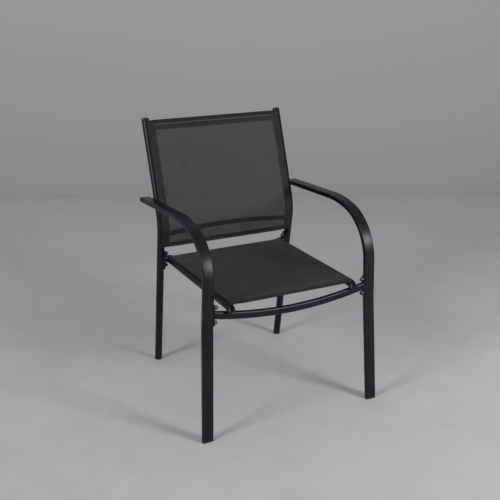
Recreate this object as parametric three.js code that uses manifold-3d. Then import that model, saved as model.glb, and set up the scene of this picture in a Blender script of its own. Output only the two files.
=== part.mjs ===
// Sling patio chair, in millimetres: +X right, +Y to the rear, +Z up, standing on z = 0.
// Two bent flat tubes make the front legs and arms. Two bent round tubes make the rear legs and
// back posts. A bolted seat frame, cross bars and two fabric slings join them.
import * as THREE from 'three';
import { mergeVertices } from 'three/addons/utils/BufferGeometryUtils.js';
import Module from 'manifold-3d';

const wasm = await Module();
wasm.setup();

// Clearances and cuts
const degree = Math.PI / 180;
const fitGap = 0.3;
const cutOverrun = 2;
const mergeDistance = 0.0001;

// Round steel tube of the posts, rails, rear seat bar and top bar
const tubeDiameter = 25;
const tubeWall = 1.5;
const tubeRadius = tubeDiameter / 2;
const boreRadius = tubeRadius - tubeWall;

// Flat steel tube of the arms and front legs
const armWidth = 34;
const armDepth = 15;
const armWall = 1.5;
const armCorner = 3;

// Back post and rear leg: one bent tube on each side
const postSpacing = 485;
const rearLegLength = 505;
const rearLegRake = 9.7 * degree;
const postBendRadius = 164;
const backRecline = 20 * degree;
const backLength = 301;
const postX = postSpacing / 2;

// Front leg and arm: kicked forward at the foot, arched over into the arm
const legKick = 3.3 * degree;
const legKickLength = 345;
const legKickRadius = 250;
const legUpperLength = 122;
const archFrontRadius = 146.5;
const archFrontTurn = 75.8 * degree;
const archRearRadius = 367.5;
const archRearTurn = 18.2 * degree;
const armLength = 287;
const armBoltInset = 29;
const armSpacerLength = 4;
const armSpacerDiameter = 14;
const frameLean = 2.46 * degree;
const frameToe = 1.4 * degree;

// Seat frame
const frontBracketHeight = 397;
const rearBracketHeight = 404;
const frontBarRise = 1;
const frontBarHeight = 25;
const frontBarDepth = 15;
const rearBarRise = 3;
const seatBarBow = 27;
const railFrontInset = 36.5;
const railRearInset = 32;
const railNoseRadius = 20;
const railNoseTurn = 73 * degree;
const railNoseReach = 3;
const railRise = 2.3;

// Brackets, bolts and nuts that hold the seat frame
const bracketHeight = 66;
const bracketWidth = 15;
const bracketThickness = 3;
const bracketCorner = 3;
const saddleWidth = 20;
const boltPitch = 46;
const boltDiameter = 5;
const boltFlangeDiameter = 14;
const boltFlangeHeight = 1.6;
const boltHeadDiameter = 11.5;
const boltHeadHeight = 11;
const boltHeadDome = 5;
const boltLength = 12;
const nutHeight = 7;
const nutDiameter = armDepth - 2 * armCorner - 2 * fitGap;

// Plastic feet, plugs and caps
const footLip = 4;
const plugLip = 2.5;
const plugStem = 16;
const capHeight = 6.5;
const capEdge = 1.5;

// Cross bars of the back
const topBarInset = 16;
const spreaderDiameter = 16;
const spreaderWall = 1.2;
const spreaderHeight = 494;
const spreaderBow = 32;

// Slings, each held by a rod inside the slit tubes
const slingThickness = 1.2;
const slitWidth = 3;
const rodDiameter = 5;
const backSlingBottom = 457;
const backSlingSag = 8;
const topHemGap = 13;
const topHemLength = 31;
const hemTabRise = 8;
const hemStep = 0.2;
const topHemWidth = postSpacing - tubeDiameter - 2 * topHemGap;
const seatSlingNoseTurn = 23 * degree;
const seatSlingRearGap = 3;
const seatSlingSag = 10;

// Facets
const roundSides = 8;
const cornerSides = 1;
const bendStep = 9 * degree;
const bowSteps = 8;
const slingSteps = 14;
const slingRowLength = 35;
const turnedSides = 12;
const domeSteps = 4;

// Colours and finishes
const finishes = {
  frame: { color: 0x1b1d1f, roughness: 0.38, metalness: 0.55 },
  plastic: { color: 0x131415, roughness: 0.55, metalness: 0 },
  bolt: { color: 0x3a3c3f, roughness: 0.3, metalness: 0.9 },
  fabric: { color: 0x3b3c3e, roughness: 0.85, metalness: 0 },
  rod: { color: 0x1c1c1d, roughness: 0.6, metalness: 0 },
};

const axisX = new THREE.Vector3(1, 0, 0);
const axisY = new THREE.Vector3(0, 1, 0);
const axisZ = new THREE.Vector3(0, 0, 1);

// A tube's route in the Y-Z plane: straights and bends laid end to end.
// A heading is the angle from +Z toward +Y, and the outer side is on the left of the heading.
class Route {
  constructor(y, z, heading, moves) {
    this.parts = [];
    this.length = 0;
    let at = { y, z, heading };
    for (const move of moves) {
      const part = { ...at, ...move, start: this.length };
      part.length = move.straight ?? Math.abs(move.radius * move.turn);
      this.parts.push(part);
      this.length += part.length;
      at = this.along(part, part.length);
    }
  }

  along(part, distance) {
    const { y, z, heading } = part;
    if (part.straight !== undefined) {
      return { y: y + Math.sin(heading) * distance, z: z + Math.cos(heading) * distance, heading };
    }
    const radius = part.radius * Math.sign(part.turn);
    const turned = heading + distance / radius;
    return {
      y: y + radius * (Math.cos(heading) - Math.cos(turned)),
      z: z + radius * (Math.sin(turned) - Math.sin(heading)),
      heading: turned,
    };
  }

  at(distance) {
    const part = this.parts.findLast((candidate) => candidate.start <= distance) ?? this.parts[0];
    const beyond = Math.max(0, distance - part.start - part.length);
    const state = this.along(part, distance - part.start - beyond);
    const { y, z, heading } = this.along({ ...state, straight: beyond }, beyond);
    return {
      point: new THREE.Vector3(0, y, z),
      tangent: new THREE.Vector3(0, Math.sin(heading), Math.cos(heading)),
      outward: new THREE.Vector3(0, -Math.cos(heading), Math.sin(heading)),
      heading,
    };
  }

  // Distance along the route at which it passes a height on its way up
  atHeight(height) {
    let low = 0;
    let high = this.length;
    for (let i = 0; i < 50; i += 1) {
      const middle = (low + high) / 2;
      if (this.at(middle).point.z < height) low = middle;
      else high = middle;
    }
    return low;
  }

  // Places for the rings of a swept tube: its ends, and the steps of each bend between them
  marks(from, to) {
    const marks = [from];
    for (const part of this.parts) {
      const steps = part.straight === undefined ? Math.ceil(Math.abs(part.turn) / bendStep) : 1;
      for (let i = 0; i <= steps; i += 1) {
        const mark = part.start + part.length * (i / steps);
        if (mark > marks.at(-1) + fitGap && mark < to - fitGap) marks.push(mark);
      }
    }
    marks.push(to);
    return marks;
  }
}

// A route as a curve whose steps fall on the given marks
class RouteCurve extends THREE.Curve {
  constructor(route, marks) {
    super();
    this.route = route;
    this.marks = marks;
  }

  frame(share) {
    return this.route.at(this.marks[Math.round(share * (this.marks.length - 1))]);
  }

  getPointAt(share) {
    return this.frame(share).point;
  }

  getTangentAt(share) {
    return this.frame(share).tangent;
  }

  getSpacedPoints() {
    return this.marks.map((mark) => this.route.at(mark).point);
  }
}

// A shallow arc across the chair: its ends are level at z = 0 and its middle is lower by the bow
class BowCurve extends THREE.Curve {
  constructor(halfSpan, bow, overrun) {
    super();
    this.radius = (halfSpan ** 2 + bow ** 2) / (2 * bow);
    this.sweep = Math.asin(halfSpan / this.radius) + overrun / this.radius;
    this.drop = this.radius - bow;
  }

  getPointAt(share) {
    const angle = (2 * share - 1) * this.sweep;
    const x = Math.sin(angle) * this.radius;
    return new THREE.Vector3(x, 0, this.drop - Math.cos(angle) * this.radius);
  }

  getTangentAt(share) {
    const angle = (2 * share - 1) * this.sweep;
    return new THREE.Vector3(Math.cos(angle), 0, Math.sin(angle));
  }

  getSpacedPoints(steps) {
    return Array.from({ length: steps + 1 }, (_, i) => this.getPointAt(i / steps));
  }

  heightAt(x) {
    return this.drop - Math.sqrt(this.radius ** 2 - x ** 2);
  }
}

// Solids from geometries, and back
function solid(geometry) {
  const bare = geometry.clone();
  bare.deleteAttribute('normal');
  bare.deleteAttribute('uv');
  const merged = mergeVertices(bare, mergeDistance);
  return new wasm.Manifold(new wasm.Mesh({
    numProp: 3,
    vertProperties: merged.attributes.position.array,
    triVerts: Uint32Array.from(merged.index.array),
  }));
}

function geometryOf(shape) {
  const { vertProperties, triVerts } = shape.getMesh();
  const geometry = new THREE.BufferGeometry();
  geometry.setAttribute('position', new THREE.BufferAttribute(vertProperties, 3));
  geometry.setIndex(new THREE.BufferAttribute(triVerts, 1));
  geometry.computeVertexNormals();
  return geometry;
}

function cut(geometry, cutters) {
  return geometryOf(cutters.reduce((rest, cutter) => rest.subtract(solid(cutter)), solid(geometry)));
}

function join(geometries) {
  return geometryOf(geometries.map(solid).reduce((whole, next) => whole.add(next)));
}

// Sections of tubes and rods
function circle(radius, height = 0) {
  return new THREE.Shape().absarc(0, height, radius, 0, 2 * Math.PI);
}

function ring(outer, inner) {
  const shape = circle(outer);
  shape.holes.push(circle(inner));
  return shape;
}

// A flat oval grown on all sides: two half circles joined by straight sides
function oval(width, height, grow) {
  const radius = width / 2 + grow;
  const rise = (height - width) / 2;
  const shape = new THREE.Shape();
  shape.absarc(0, rise, radius, 0, Math.PI);
  shape.absarc(0, -rise, radius, Math.PI, 2 * Math.PI);
  return shape;
}

function roundedBox(width, depth, corner) {
  const x = width / 2 - corner;
  const y = depth / 2 - corner;
  const shape = new THREE.Shape();
  shape.absarc(x, y, corner, 0, Math.PI / 2);
  shape.absarc(-x, y, corner, Math.PI / 2, Math.PI);
  shape.absarc(-x, -y, corner, Math.PI, 1.5 * Math.PI);
  shape.absarc(x, -y, corner, 1.5 * Math.PI, 2 * Math.PI);
  return shape;
}

function slab(left, right, low, high) {
  const corners = [[left, low], [right, low], [right, high], [left, high]];
  return new THREE.Shape(corners.map(([x, y]) => new THREE.Vector2(x, y)));
}

function sweep(shape, route, from, to, curveSegments = roundSides) {
  const marks = route.marks(from, to);
  const extrudePath = new RouteCurve(route, marks);
  return new THREE.ExtrudeGeometry(shape, { extrudePath, steps: marks.length - 1, curveSegments });
}

function sweepBow(shape, extrudePath, curveSegments = roundSides) {
  return new THREE.ExtrudeGeometry(shape, { extrudePath, steps: bowSteps, curveSegments });
}

// A shape drawn in the Y-Z plane and extruded along X from the given side
function plateAcross(shape, from, thickness, curveSegments) {
  const options = { depth: thickness, bevelEnabled: false, curveSegments };
  const geometry = new THREE.ExtrudeGeometry(shape, options);
  geometry.applyMatrix4(new THREE.Matrix4().makeBasis(axisY, axisZ, axisX));
  return geometry.translate(from, 0, 0);
}

// A round cutter along X
function drill(radius, from, to, y, z) {
  const geometry = new THREE.CylinderGeometry(radius, radius, to - from, 2 * roundSides);
  return geometry.rotateZ(Math.PI / 2).translate((from + to) / 2, y, z);
}

function boxBetween(low, high) {
  const size = new THREE.Vector3().subVectors(high, low);
  const middle = new THREE.Vector3().addVectors(low, high).multiplyScalar(0.5);
  return new THREE.BoxGeometry(size.x, size.y, size.z).translate(middle.x, middle.y, middle.z);
}

function placed(geometry, matrix) {
  return geometry.clone().applyMatrix4(matrix);
}

// Routes of the bent tubes
const postBendTangent = postBendRadius * Math.tan((rearLegRake + backRecline) / 2);
const rearFootY = (rearLegLength + postBendTangent) * Math.sin(rearLegRake);
const postRoute = new Route(rearFootY, 0, -rearLegRake, [
  { straight: rearLegLength },
  { radius: postBendRadius, turn: rearLegRake + backRecline },
  { straight: backLength },
]);
const armRoute = new Route(0, 0, legKick, [
  { straight: legKickLength },
  { radius: legKickRadius, turn: -legKick },
  { straight: legUpperLength },
  { radius: archFrontRadius, turn: archFrontTurn },
  { radius: archRearRadius, turn: archRearTurn },
  { straight: armLength },
]);

// Places on the posts
const rearBracketMark = postRoute.atHeight(rearBracketHeight);
const rearBracket = postRoute.at(rearBracketMark);
const topBarMark = postRoute.length - topBarInset;
const topBar = postRoute.at(topBarMark);
const spreader = postRoute.at(postRoute.atHeight(spreaderHeight));

// The arm frame leans inward and toes out, and its bolt meets the axis of the post
const armBolt = armRoute.at(armRoute.length - armBoltInset);
function armFrameMatrix(side) {
  const turn = new THREE.Euler(0, -side * frameLean, -side * frameToe);
  const matrix = new THREE.Matrix4().makeRotationFromEuler(turn);
  const innerFace = armBolt.point.clone().setX(-side * armWidth / 2).applyMatrix4(matrix);
  const post = postRoute.at(postRoute.atHeight(innerFace.z)).point;
  const faceX = side * (postX + tubeRadius + armSpacerLength);
  return matrix.setPosition(faceX - innerFace.x, post.y - innerFace.y, 0);
}

function postMatrix(side) {
  return new THREE.Matrix4().makeTranslation(side * postX, 0, 0);
}

// Places on the front legs
const frontBracketMark = armRoute.atHeight(frontBracketHeight);
const frontBracket = armRoute.at(frontBracketMark);
const bracketInnerFace = armWidth / 2 + fitGap + bracketThickness;
const frontBarEnd = frontBracket.point.clone().setX(-bracketInnerFace - fitGap)
  .applyMatrix4(armFrameMatrix(1));
const frontBarZ = frontBarEnd.z + frontBarRise;
const rearBarZ = rearBracket.point.z + rearBarRise;
const frontBarCurve = new BowCurve(frontBarEnd.x, seatBarBow, cutOverrun + bracketThickness);
const saddleFace = tubeRadius + fitGap + bracketThickness;
const rearBarHalf = postX - saddleFace - fitGap;
const rearBarCurve = new BowCurve(rearBarHalf, seatBarBow, cutOverrun);

// Seat rails: their noses bend down onto the front bar, and they butt against the rear bar
const railFrontX = postX - railFrontInset;
const railRearX = postX - railRearInset;
const railSeatZ = frontBarZ + frontBarCurve.heightAt(railFrontX) + frontBarHeight / 2 + tubeRadius;
const railFrontZ = railSeatZ + railRise;
const railRearZ = rearBarZ + rearBarCurve.heightAt(railRearX);
const railRun = rearBracket.point.y - frontBarEnd.y;
const railToe = Math.atan((railRearX - railFrontX) / railRun);
const railSlope = Math.atan((railFrontZ - railRearZ) / railRun);
const railStraight = Math.hypot(railRun, railRearX - railFrontX, railFrontZ - railRearZ);
const railRoute = railRouteFrom(railNoseReach);

// The straight of a rail starts just behind the front bar's axis, after the bend of its nose
function railRouteFrom(reach) {
  const heading = Math.PI / 2 + railSlope;
  const nose = heading - railNoseTurn;
  const y = Math.sin(heading) * reach - railNoseRadius * (Math.cos(nose) - Math.cos(heading));
  const z = Math.cos(heading) * reach - railNoseRadius * (Math.sin(heading) - Math.sin(nose));
  return new Route(y, z, nose, [
    { radius: railNoseRadius, turn: railNoseTurn },
    { straight: railStraight - reach },
  ]);
}

function railMatrix(side) {
  const turn = new THREE.Euler(0, 0, -side * railToe);
  const matrix = new THREE.Matrix4().makeRotationFromEuler(turn);
  return matrix.setPosition(side * railFrontX, frontBarEnd.y, railFrontZ);
}

// Slit and rod places, measured outward from a slit tube's axis
const rodRadius = rodDiameter / 2;
const rodOffset = boreRadius - rodRadius - fitGap;
const hemUnder = tubeRadius + fitGap;
const slingUnder = hemUnder + hemStep;
const slingOver = slingUnder + slingThickness;
const hemOver = slingOver + hemStep;
const slingMiddle = (slingUnder + slingOver) / 2;
const slingEdge = slingThickness / 2 + hemStep;
const backSlingMark = postRoute.atHeight(backSlingBottom);
const backRodTop = postRoute.length - plugStem - fitGap;
const railNoseLength = railNoseRadius * railNoseTurn;
const seatSlingStart = railNoseLength - railNoseRadius * seatSlingNoseTurn;
const seatSlingEnd = railRoute.length - seatSlingRearGap;
const seatRodEnd = railRoute.length - tubeRadius - 2 * fitGap;

function slitCutter(route, from, to, width = slitWidth) {
  const shape = slab(-width / 2, width / 2, boreRadius - cutOverrun, tubeRadius + cutOverrun);
  return sweep(shape, route, from, to);
}

function floorCutter(matrix) {
  const reach = armWidth + tubeDiameter;
  const low = new THREE.Vector3(-reach, -reach, -reach);
  const high = new THREE.Vector3(reach, reach, 0);
  return placed(boxBetween(low, high), matrix);
}

// Floor below a foot, seen from a leg's own frame
function floorUnder(point, frameMatrix) {
  const world = point.clone().applyMatrix4(frameMatrix).setZ(0);
  const lift = new THREE.Matrix4().makeTranslation(world.x, world.y, world.z);
  return floorCutter(frameMatrix.clone().invert().multiply(lift));
}

// Arm frame pieces, in the arm frame's own axes
function armLegTube(side) {
  const shape = roundedBox(armWidth, armDepth, armCorner);
  shape.holes.push(roundedBox(armWidth - 2 * armWall, armDepth - 2 * armWall, armCorner - armWall));
  const tube = sweep(shape, armRoute, footLip + fitGap, armRoute.length, cornerSides);
  const wallFrom = armWidth / 2 - armWall - cutOverrun;
  const wallTo = armWidth / 2 + cutOverrun;
  const spots = boltMarks(frontBracketMark).map((mark) => armRoute.at(mark).point);
  spots.push(armBolt.point);
  const radius = boltDiameter / 2 + fitGap;
  const cutters = spots.map(({ y, z }) => {
    const hole = drill(radius, wallFrom, wallTo, y, z);
    return side > 0 ? hole.translate(-wallFrom - wallTo, 0, 0) : hole;
  });
  return cut(tube, cutters);
}

function boltMarks(mark) {
  return [mark - boltPitch / 2, mark + boltPitch / 2];
}

function frontFoot(side) {
  const lip = roundedBox(armWidth, armDepth, armCorner);
  const inset = 2 * (armWall + fitGap);
  const stem = roundedBox(armWidth - inset, armDepth - inset, armCorner - armWall);
  const body = join([
    sweep(lip, armRoute, -footLip, footLip, cornerSides),
    sweep(stem, armRoute, 0, footLip + plugStem, cornerSides),
  ]);
  return cut(body, [floorUnder(armRoute.at(0).point, armFrameMatrix(side))]);
}

function armEndPlug() {
  const lip = roundedBox(armWidth, armDepth, armCorner);
  const inset = 2 * (armWall + fitGap);
  const stem = roundedBox(armWidth - inset, armDepth - inset, armCorner - armWall);
  const end = armRoute.length;
  return join([
    sweep(lip, armRoute, end + fitGap, end + fitGap + plugLip, cornerSides),
    sweep(stem, armRoute, end - plugStem, end + plugLip, cornerSides),
  ]);
}

function frontBracketPlate(side) {
  const shape = roundedBox(bracketWidth, bracketHeight, bracketCorner);
  for (const height of [-boltPitch / 2, boltPitch / 2]) {
    shape.holes.push(circle(boltDiameter / 2 + fitGap, height));
  }
  const from = side > 0 ? -bracketInnerFace : bracketInnerFace - bracketThickness;
  const plate = plateAcross(shape, from, bracketThickness, roundSides / 2);
  const { point, heading } = frontBracket;
  return plate.rotateX(-heading).translate(0, point.y, point.z);
}

// Points of a dome's outline, from its rim almost up to its top
function domeOf(radius, rise, from) {
  return Array.from({ length: domeSteps }, (_, i) => {
    const angle = (i / domeSteps) * Math.PI / 2;
    return new THREE.Vector2(radius * Math.cos(angle), from + rise * Math.sin(angle));
  });
}

// A bolt with its head on the inner side of the chair and its shank toward the given side
function bolt(side, length, seatX, y, z) {
  const radius = boltDiameter / 2;
  const flangeRadius = boltFlangeDiameter / 2;
  const headRadius = boltHeadDiameter / 2;
  const dome = domeOf(headRadius, boltHeadDome, boltHeadHeight - boltHeadDome);
  const profile = [
    new THREE.Vector2(0, -length),
    new THREE.Vector2(radius, -length),
    new THREE.Vector2(radius, 0),
    new THREE.Vector2(flangeRadius, 0),
    new THREE.Vector2(flangeRadius, boltFlangeHeight),
    new THREE.Vector2(headRadius, boltFlangeHeight),
    ...dome,
    new THREE.Vector2(0, boltHeadHeight),
  ];
  const geometry = new THREE.LatheGeometry(profile, turnedSides);
  return geometry.rotateZ(side * Math.PI / 2).translate(-side * seatX, y, z);
}

// A rivet nut round a bolt along X, its outer face nearest the head
function nut(side, faceX, y, z) {
  const from = side > 0 ? -faceX : faceX - nutHeight;
  const shape = ring(nutDiameter / 2, boltDiameter / 2 + fitGap);
  return plateAcross(shape, from, nutHeight, roundSides / 2).translate(0, y, z);
}

function atMark(route, mark, make) {
  const { y, z } = route.at(mark).point;
  return make(y, z);
}

function frontBolt(side, mark) {
  const seat = bracketInnerFace + fitGap;
  return atMark(armRoute, mark, (y, z) => bolt(side, boltLength, seat, y, z));
}

function frontNut(side, mark) {
  const face = armWidth / 2 - armWall - fitGap;
  return atMark(armRoute, mark, (y, z) => nut(side, face, y, z));
}

function rearBolt(side, mark) {
  const seat = saddleFace + fitGap;
  return atMark(postRoute, mark, (y, z) => bolt(side, boltLength, seat, y, z));
}

function rearNut(side, mark) {
  const face = Math.sqrt(boreRadius ** 2 - (nutDiameter / 2) ** 2) - fitGap;
  return atMark(postRoute, mark, (y, z) => nut(side, face, y, z));
}

// The arm bolt runs from the inner side of the post, through it and the spacer, into the arm
const armBoltSeat = armWidth / 2 + armSpacerLength + tubeDiameter + 2 * fitGap;
const armBoltLength = armBoltSeat - armWidth / 2 + armWall + fitGap + nutHeight;

function armBoltPiece(side) {
  const { y, z } = armBolt.point;
  return bolt(side, armBoltLength, armBoltSeat, y, z);
}

function armNut(side) {
  const { y, z } = armBolt.point;
  return nut(side, armWidth / 2 - armWall - fitGap, y, z);
}

function armSpacer(side) {
  const { y, z } = armBolt.point;
  const near = armWidth / 2 + fitGap;
  const far = near + armSpacerLength + tubeRadius / 2;
  const body = drill(armSpacerDiameter / 2, near, far, y, z);
  const bore = drill(boltDiameter / 2 + fitGap, near - cutOverrun, far + cutOverrun, y, z);
  const pieces = [body, bore].map((geometry) => {
    return side > 0 ? geometry.translate(-near - far, 0, 0) : geometry;
  });
  const post = sweep(circle(tubeRadius + fitGap), postRoute, 0, postRoute.length);
  const toArm = armFrameMatrix(side).invert().multiply(postMatrix(side));
  return cut(pieces[0], [pieces[1], placed(post, toArm)]);
}

// Post pieces, in a frame whose x is zero on the post's axis
function backPost(side) {
  const tube = sweep(ring(tubeRadius, boreRadius), postRoute, footLip + fitGap, postRoute.length);
  const radius = boltDiameter / 2 + fitGap;
  const holes = boltMarks(rearBracketMark).map((mark) => {
    const { y, z } = postRoute.at(mark).point;
    const [from, to] = side > 0 ? [-tubeRadius - cutOverrun, 0] : [0, tubeRadius + cutOverrun];
    return drill(radius, from, to, y, z);
  });
  const reach = armBoltSeat + cutOverrun;
  const through = drill(radius, -reach, reach, armBolt.point.y, armBolt.point.z);
  const toPost = postMatrix(side).invert().multiply(armFrameMatrix(side));
  const slit = slitCutter(postRoute, backSlingMark - fitGap, postRoute.length + cutOverrun);
  return cut(tube, [...holes, placed(through, toPost), slit]);
}

function rearFoot() {
  const body = join([
    sweep(circle(tubeRadius), postRoute, -footLip, footLip),
    sweep(circle(boreRadius - fitGap), postRoute, 0, footLip + plugStem),
  ]);
  return cut(body, [floorUnder(postRoute.at(0).point, new THREE.Matrix4())]);
}

function postCap() {
  const stem = boreRadius - fitGap;
  const dome = domeOf(tubeRadius, capHeight - capEdge, capEdge);
  const profile = [
    new THREE.Vector2(0, -plugStem),
    new THREE.Vector2(stem, -plugStem),
    new THREE.Vector2(stem, fitGap),
    new THREE.Vector2(tubeRadius, fitGap),
    ...dome,
    new THREE.Vector2(0, capHeight),
  ];
  const geometry = new THREE.LatheGeometry(profile, 2 * roundSides);
  const { point, tangent } = postRoute.at(postRoute.length);
  const turn = new THREE.Quaternion().setFromUnitVectors(axisY, tangent);
  return geometry.applyQuaternion(turn).translate(point.x, point.y, point.z);
}

// The rear bracket: flat inside for the bar's end, hollowed outside to fit the post
function rearBracketSaddle(side) {
  const hollow = tubeRadius + fitGap;
  const half = Math.asin(saddleWidth / 2 / hollow);
  const flat = side * -saddleFace;
  const shape = new THREE.Shape();
  shape.moveTo(flat, -saddleWidth / 2);
  shape.lineTo(flat, saddleWidth / 2);
  if (side > 0) shape.absarc(0, 0, hollow, Math.PI - half, Math.PI + half);
  else shape.absarc(0, 0, hollow, half, -half, true);
  const options = { depth: bracketHeight, bevelEnabled: false, curveSegments: roundSides };
  const body = new THREE.ExtrudeGeometry(shape, options);
  body.translate(0, 0, -bracketHeight / 2);
  const radius = boltDiameter / 2 + fitGap;
  const reach = saddleFace + cutOverrun;
  const holes = [-boltPitch / 2, boltPitch / 2].map((z) => drill(radius, -reach, reach, 0, z));
  const { point, heading } = rearBracket;
  return cut(body, holes).rotateX(-heading).translate(0, point.y, point.z);
}

// Seat frame pieces, in the chair's axes. The front bar is a flat oval tube, the rear bar round.
function frontBarSection(grow) {
  return oval(frontBarDepth, frontBarHeight, grow);
}

function frontBar(section) {
  const bar = sweepBow(section, frontBarCurve, roundSides / 2);
  return bar.translate(0, frontBarEnd.y, frontBarZ);
}

function rearBar(section) {
  return sweepBow(section, rearBarCurve).translate(0, rearBracket.point.y, rearBarZ);
}

// Space taken by a front leg and its bracket, to which the front bar is trimmed
function frontLegSpace(side) {
  const near = bracketInnerFace + fitGap;
  const reach = bracketHeight;
  const low = new THREE.Vector3(-near, -reach, -reach);
  const high = new THREE.Vector3(reach, reach, reach);
  if (side < 0) {
    low.x = -reach;
    high.x = near;
  }
  const box = boxBetween(low, high).rotateX(-frontBracket.heading);
  box.translate(0, frontBracket.point.y, frontBracket.point.z);
  return placed(box, armFrameMatrix(side));
}

function seatFrontBar() {
  const section = frontBarSection(0);
  section.holes.push(frontBarSection(-tubeWall));
  return cut(frontBar(section), [frontLegSpace(-1), frontLegSpace(1)]);
}

function seatRearBar() {
  const ends = [-1, 1].map((side) => {
    const near = side * rearBarHalf;
    const far = side * (rearBarHalf + tubeDiameter);
    const low = new THREE.Vector3(Math.min(near, far), -tubeDiameter, -tubeDiameter);
    const high = new THREE.Vector3(Math.max(near, far), tubeDiameter, tubeDiameter);
    return boxBetween(low, high).translate(0, rearBracket.point.y, rearBarZ);
  });
  return cut(rearBar(ring(tubeRadius, boreRadius)), ends);
}

function seatRail(side) {
  const tube = sweep(ring(tubeRadius, boreRadius), railRoute, 0, railRoute.length);
  const slit = slitCutter(railRoute, -cutOverrun, seatRodEnd + fitGap);
  const mouth = slitCutter(railRoute, -cutOverrun, seatSlingStart - fitGap, rodDiameter + 2 * fitGap);
  const toRail = railMatrix(side).invert();
  const bars = [frontBar(frontBarSection(fitGap)), rearBar(circle(tubeRadius + fitGap))];
  return cut(tube, [slit, mouth, ...bars.map((bar) => placed(bar, toRail))]);
}

// Cross bars of the back
function backTopBar() {
  const bar = plateAcross(ring(tubeRadius, boreRadius), -postX, postSpacing, roundSides);
  bar.translate(0, topBar.point.y, topBar.point.z);
  return cut(bar, [-1, 1].map((side) => postSpace(side)));
}

function postSpace(side) {
  const post = sweep(circle(tubeRadius + fitGap), postRoute, 0, postRoute.length + tubeDiameter);
  return placed(post, postMatrix(side));
}

function backSpreader() {
  const radius = spreaderDiameter / 2;
  const curve = new BowCurve(postX, spreaderBow, 0);
  const bar = sweepBow(ring(radius, radius - spreaderWall), curve);
  bar.rotateX(Math.PI / 2 - spreader.heading);
  bar.translate(0, spreader.point.y, spreader.point.z);
  return cut(bar, [-1, 1].map((side) => postSpace(side)));
}

// A fabric sheet between two edges: each row is the edge points, the way out and the sag there
function sheet(rows) {
  const across = slingSteps;
  const ringLength = 2 * (across + 1);
  const positions = [];
  for (const { left, right, outward, sag } of rows) {
    for (const [offset, order] of [[slingOver, 1], [slingUnder, -1]]) {
      for (let i = 0; i <= across; i += 1) {
        const share = order > 0 ? i / across : 1 - i / across;
        const dip = offset - sag * 4 * share * (1 - share);
        const point = new THREE.Vector3().lerpVectors(left, right, share).addScaledVector(outward, dip);
        positions.push(point.x, point.y, point.z);
      }
    }
  }
  const faces = [];
  const quad = (a, b, c, d) => faces.push(a, b, c, a, c, d);
  for (let row = 0; row < rows.length - 1; row += 1) {
    const here = row * ringLength;
    const next = here + ringLength;
    for (let i = 0; i < ringLength; i += 1) {
      const j = (i + 1) % ringLength;
      quad(here + i, here + j, next + j, next + i);
    }
  }
  const last = (rows.length - 1) * ringLength;
  for (let i = 0; i < across; i += 1) {
    const back = ringLength - 1 - i;
    quad(i, back, back - 1, i + 1);
    quad(last + i, last + i + 1, last + back - 1, last + back);
  }
  const geometry = new THREE.BufferGeometry();
  geometry.setAttribute('position', new THREE.Float32BufferAttribute(positions, 3));
  geometry.setIndex(faces);
  geometry.computeVertexNormals();
  return geometry;
}

// Sag along a sling: none at its two hems, most in its middle
function sagShare(share) {
  return 1 - (2 * share - 1) ** 4;
}

// The edge of the cloth that goes down through a slit toward the rod
function slingFlange() {
  return slab(-slingThickness / 2, slingThickness / 2, boreRadius, slingMiddle);
}

function backSling() {
  const top = topBarMark + hemTabRise;
  const seam = topBarMark - topHemLength + hemOver;
  const edge = postX + slingEdge;
  const marks = [
    ...slingMarks(postRoute, backSlingMark, seam),
    ...slingMarks(postRoute, seam, top).slice(1),
  ];
  const rows = marks.map((mark) => {
    const { point, outward } = postRoute.at(mark);
    const share = Math.min(1, (mark - backSlingMark) / (seam - backSlingMark));
    const left = point.clone().setX(-edge);
    const right = point.clone().setX(edge);
    return { left, right, outward, sag: backSlingSag * sagShare(share) };
  });
  const flanges = [-1, 1].map((side) => {
    const flange = sweep(slingFlange(), postRoute, backSlingMark + hemStep, backRodTop);
    return placed(flange, postMatrix(side));
  });
  const cloth = cut(sheet(rows), [hemNotch()]);
  return join([cloth, ...flanges, topHem()]);
}

// Rows of a sling: the rings of the tube that it lies along, with rows added on the straights
function slingMarks(route, from, to) {
  const marks = [from];
  for (const mark of route.marks(from, to).slice(1)) {
    const start = marks.at(-1);
    const rows = Math.ceil((mark - start) / slingRowLength);
    for (let i = 1; i <= rows; i += 1) marks.push(start + (mark - start) * (i / rows));
  }
  return marks;
}

// The hem round the top bar: a closed loop of cloth that narrows to its seam below the bar
function topHem() {
  const seam = topHemLength - hemOver;
  const shape = teardrop(hemOver, seam);
  shape.holes.push(teardrop(hemUnder, seam - 2 * (hemOver - hemUnder)));
  const options = { depth: topHemWidth, bevelEnabled: false, curveSegments: roundSides };
  const geometry = new THREE.ExtrudeGeometry(shape, options).translate(0, 0, -topHemWidth / 2);
  const { point, tangent, outward } = topBar;
  const basis = new THREE.Matrix4().makeBasis(outward, tangent, axisX.clone().negate());
  return placed(geometry, basis.setPosition(point));
}

// A circle with one straight side down to the seam and one tangent back up to the circle
function teardrop(radius, seam) {
  const shape = new THREE.Shape();
  const turn = 2 * Math.atan(seam / radius);
  shape.moveTo(radius, -seam);
  shape.lineTo(radius, 0);
  shape.absarc(0, 0, radius, 0, 2 * Math.PI - turn);
  return shape;
}

// Above the bar's axis the cloth lies over the bar, and only the side hems stay in front
function hemNotch() {
  const { point, outward, tangent } = topBar;
  const half = topHemWidth / 2 - hemStep;
  const low = new THREE.Vector3(-half, -tubeDiameter, 0);
  const high = new THREE.Vector3(half, tubeDiameter, tubeDiameter);
  const basis = new THREE.Matrix4().makeBasis(axisX, outward.clone().negate(), tangent);
  return placed(boxBetween(low, high), basis.setPosition(point));
}

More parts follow.
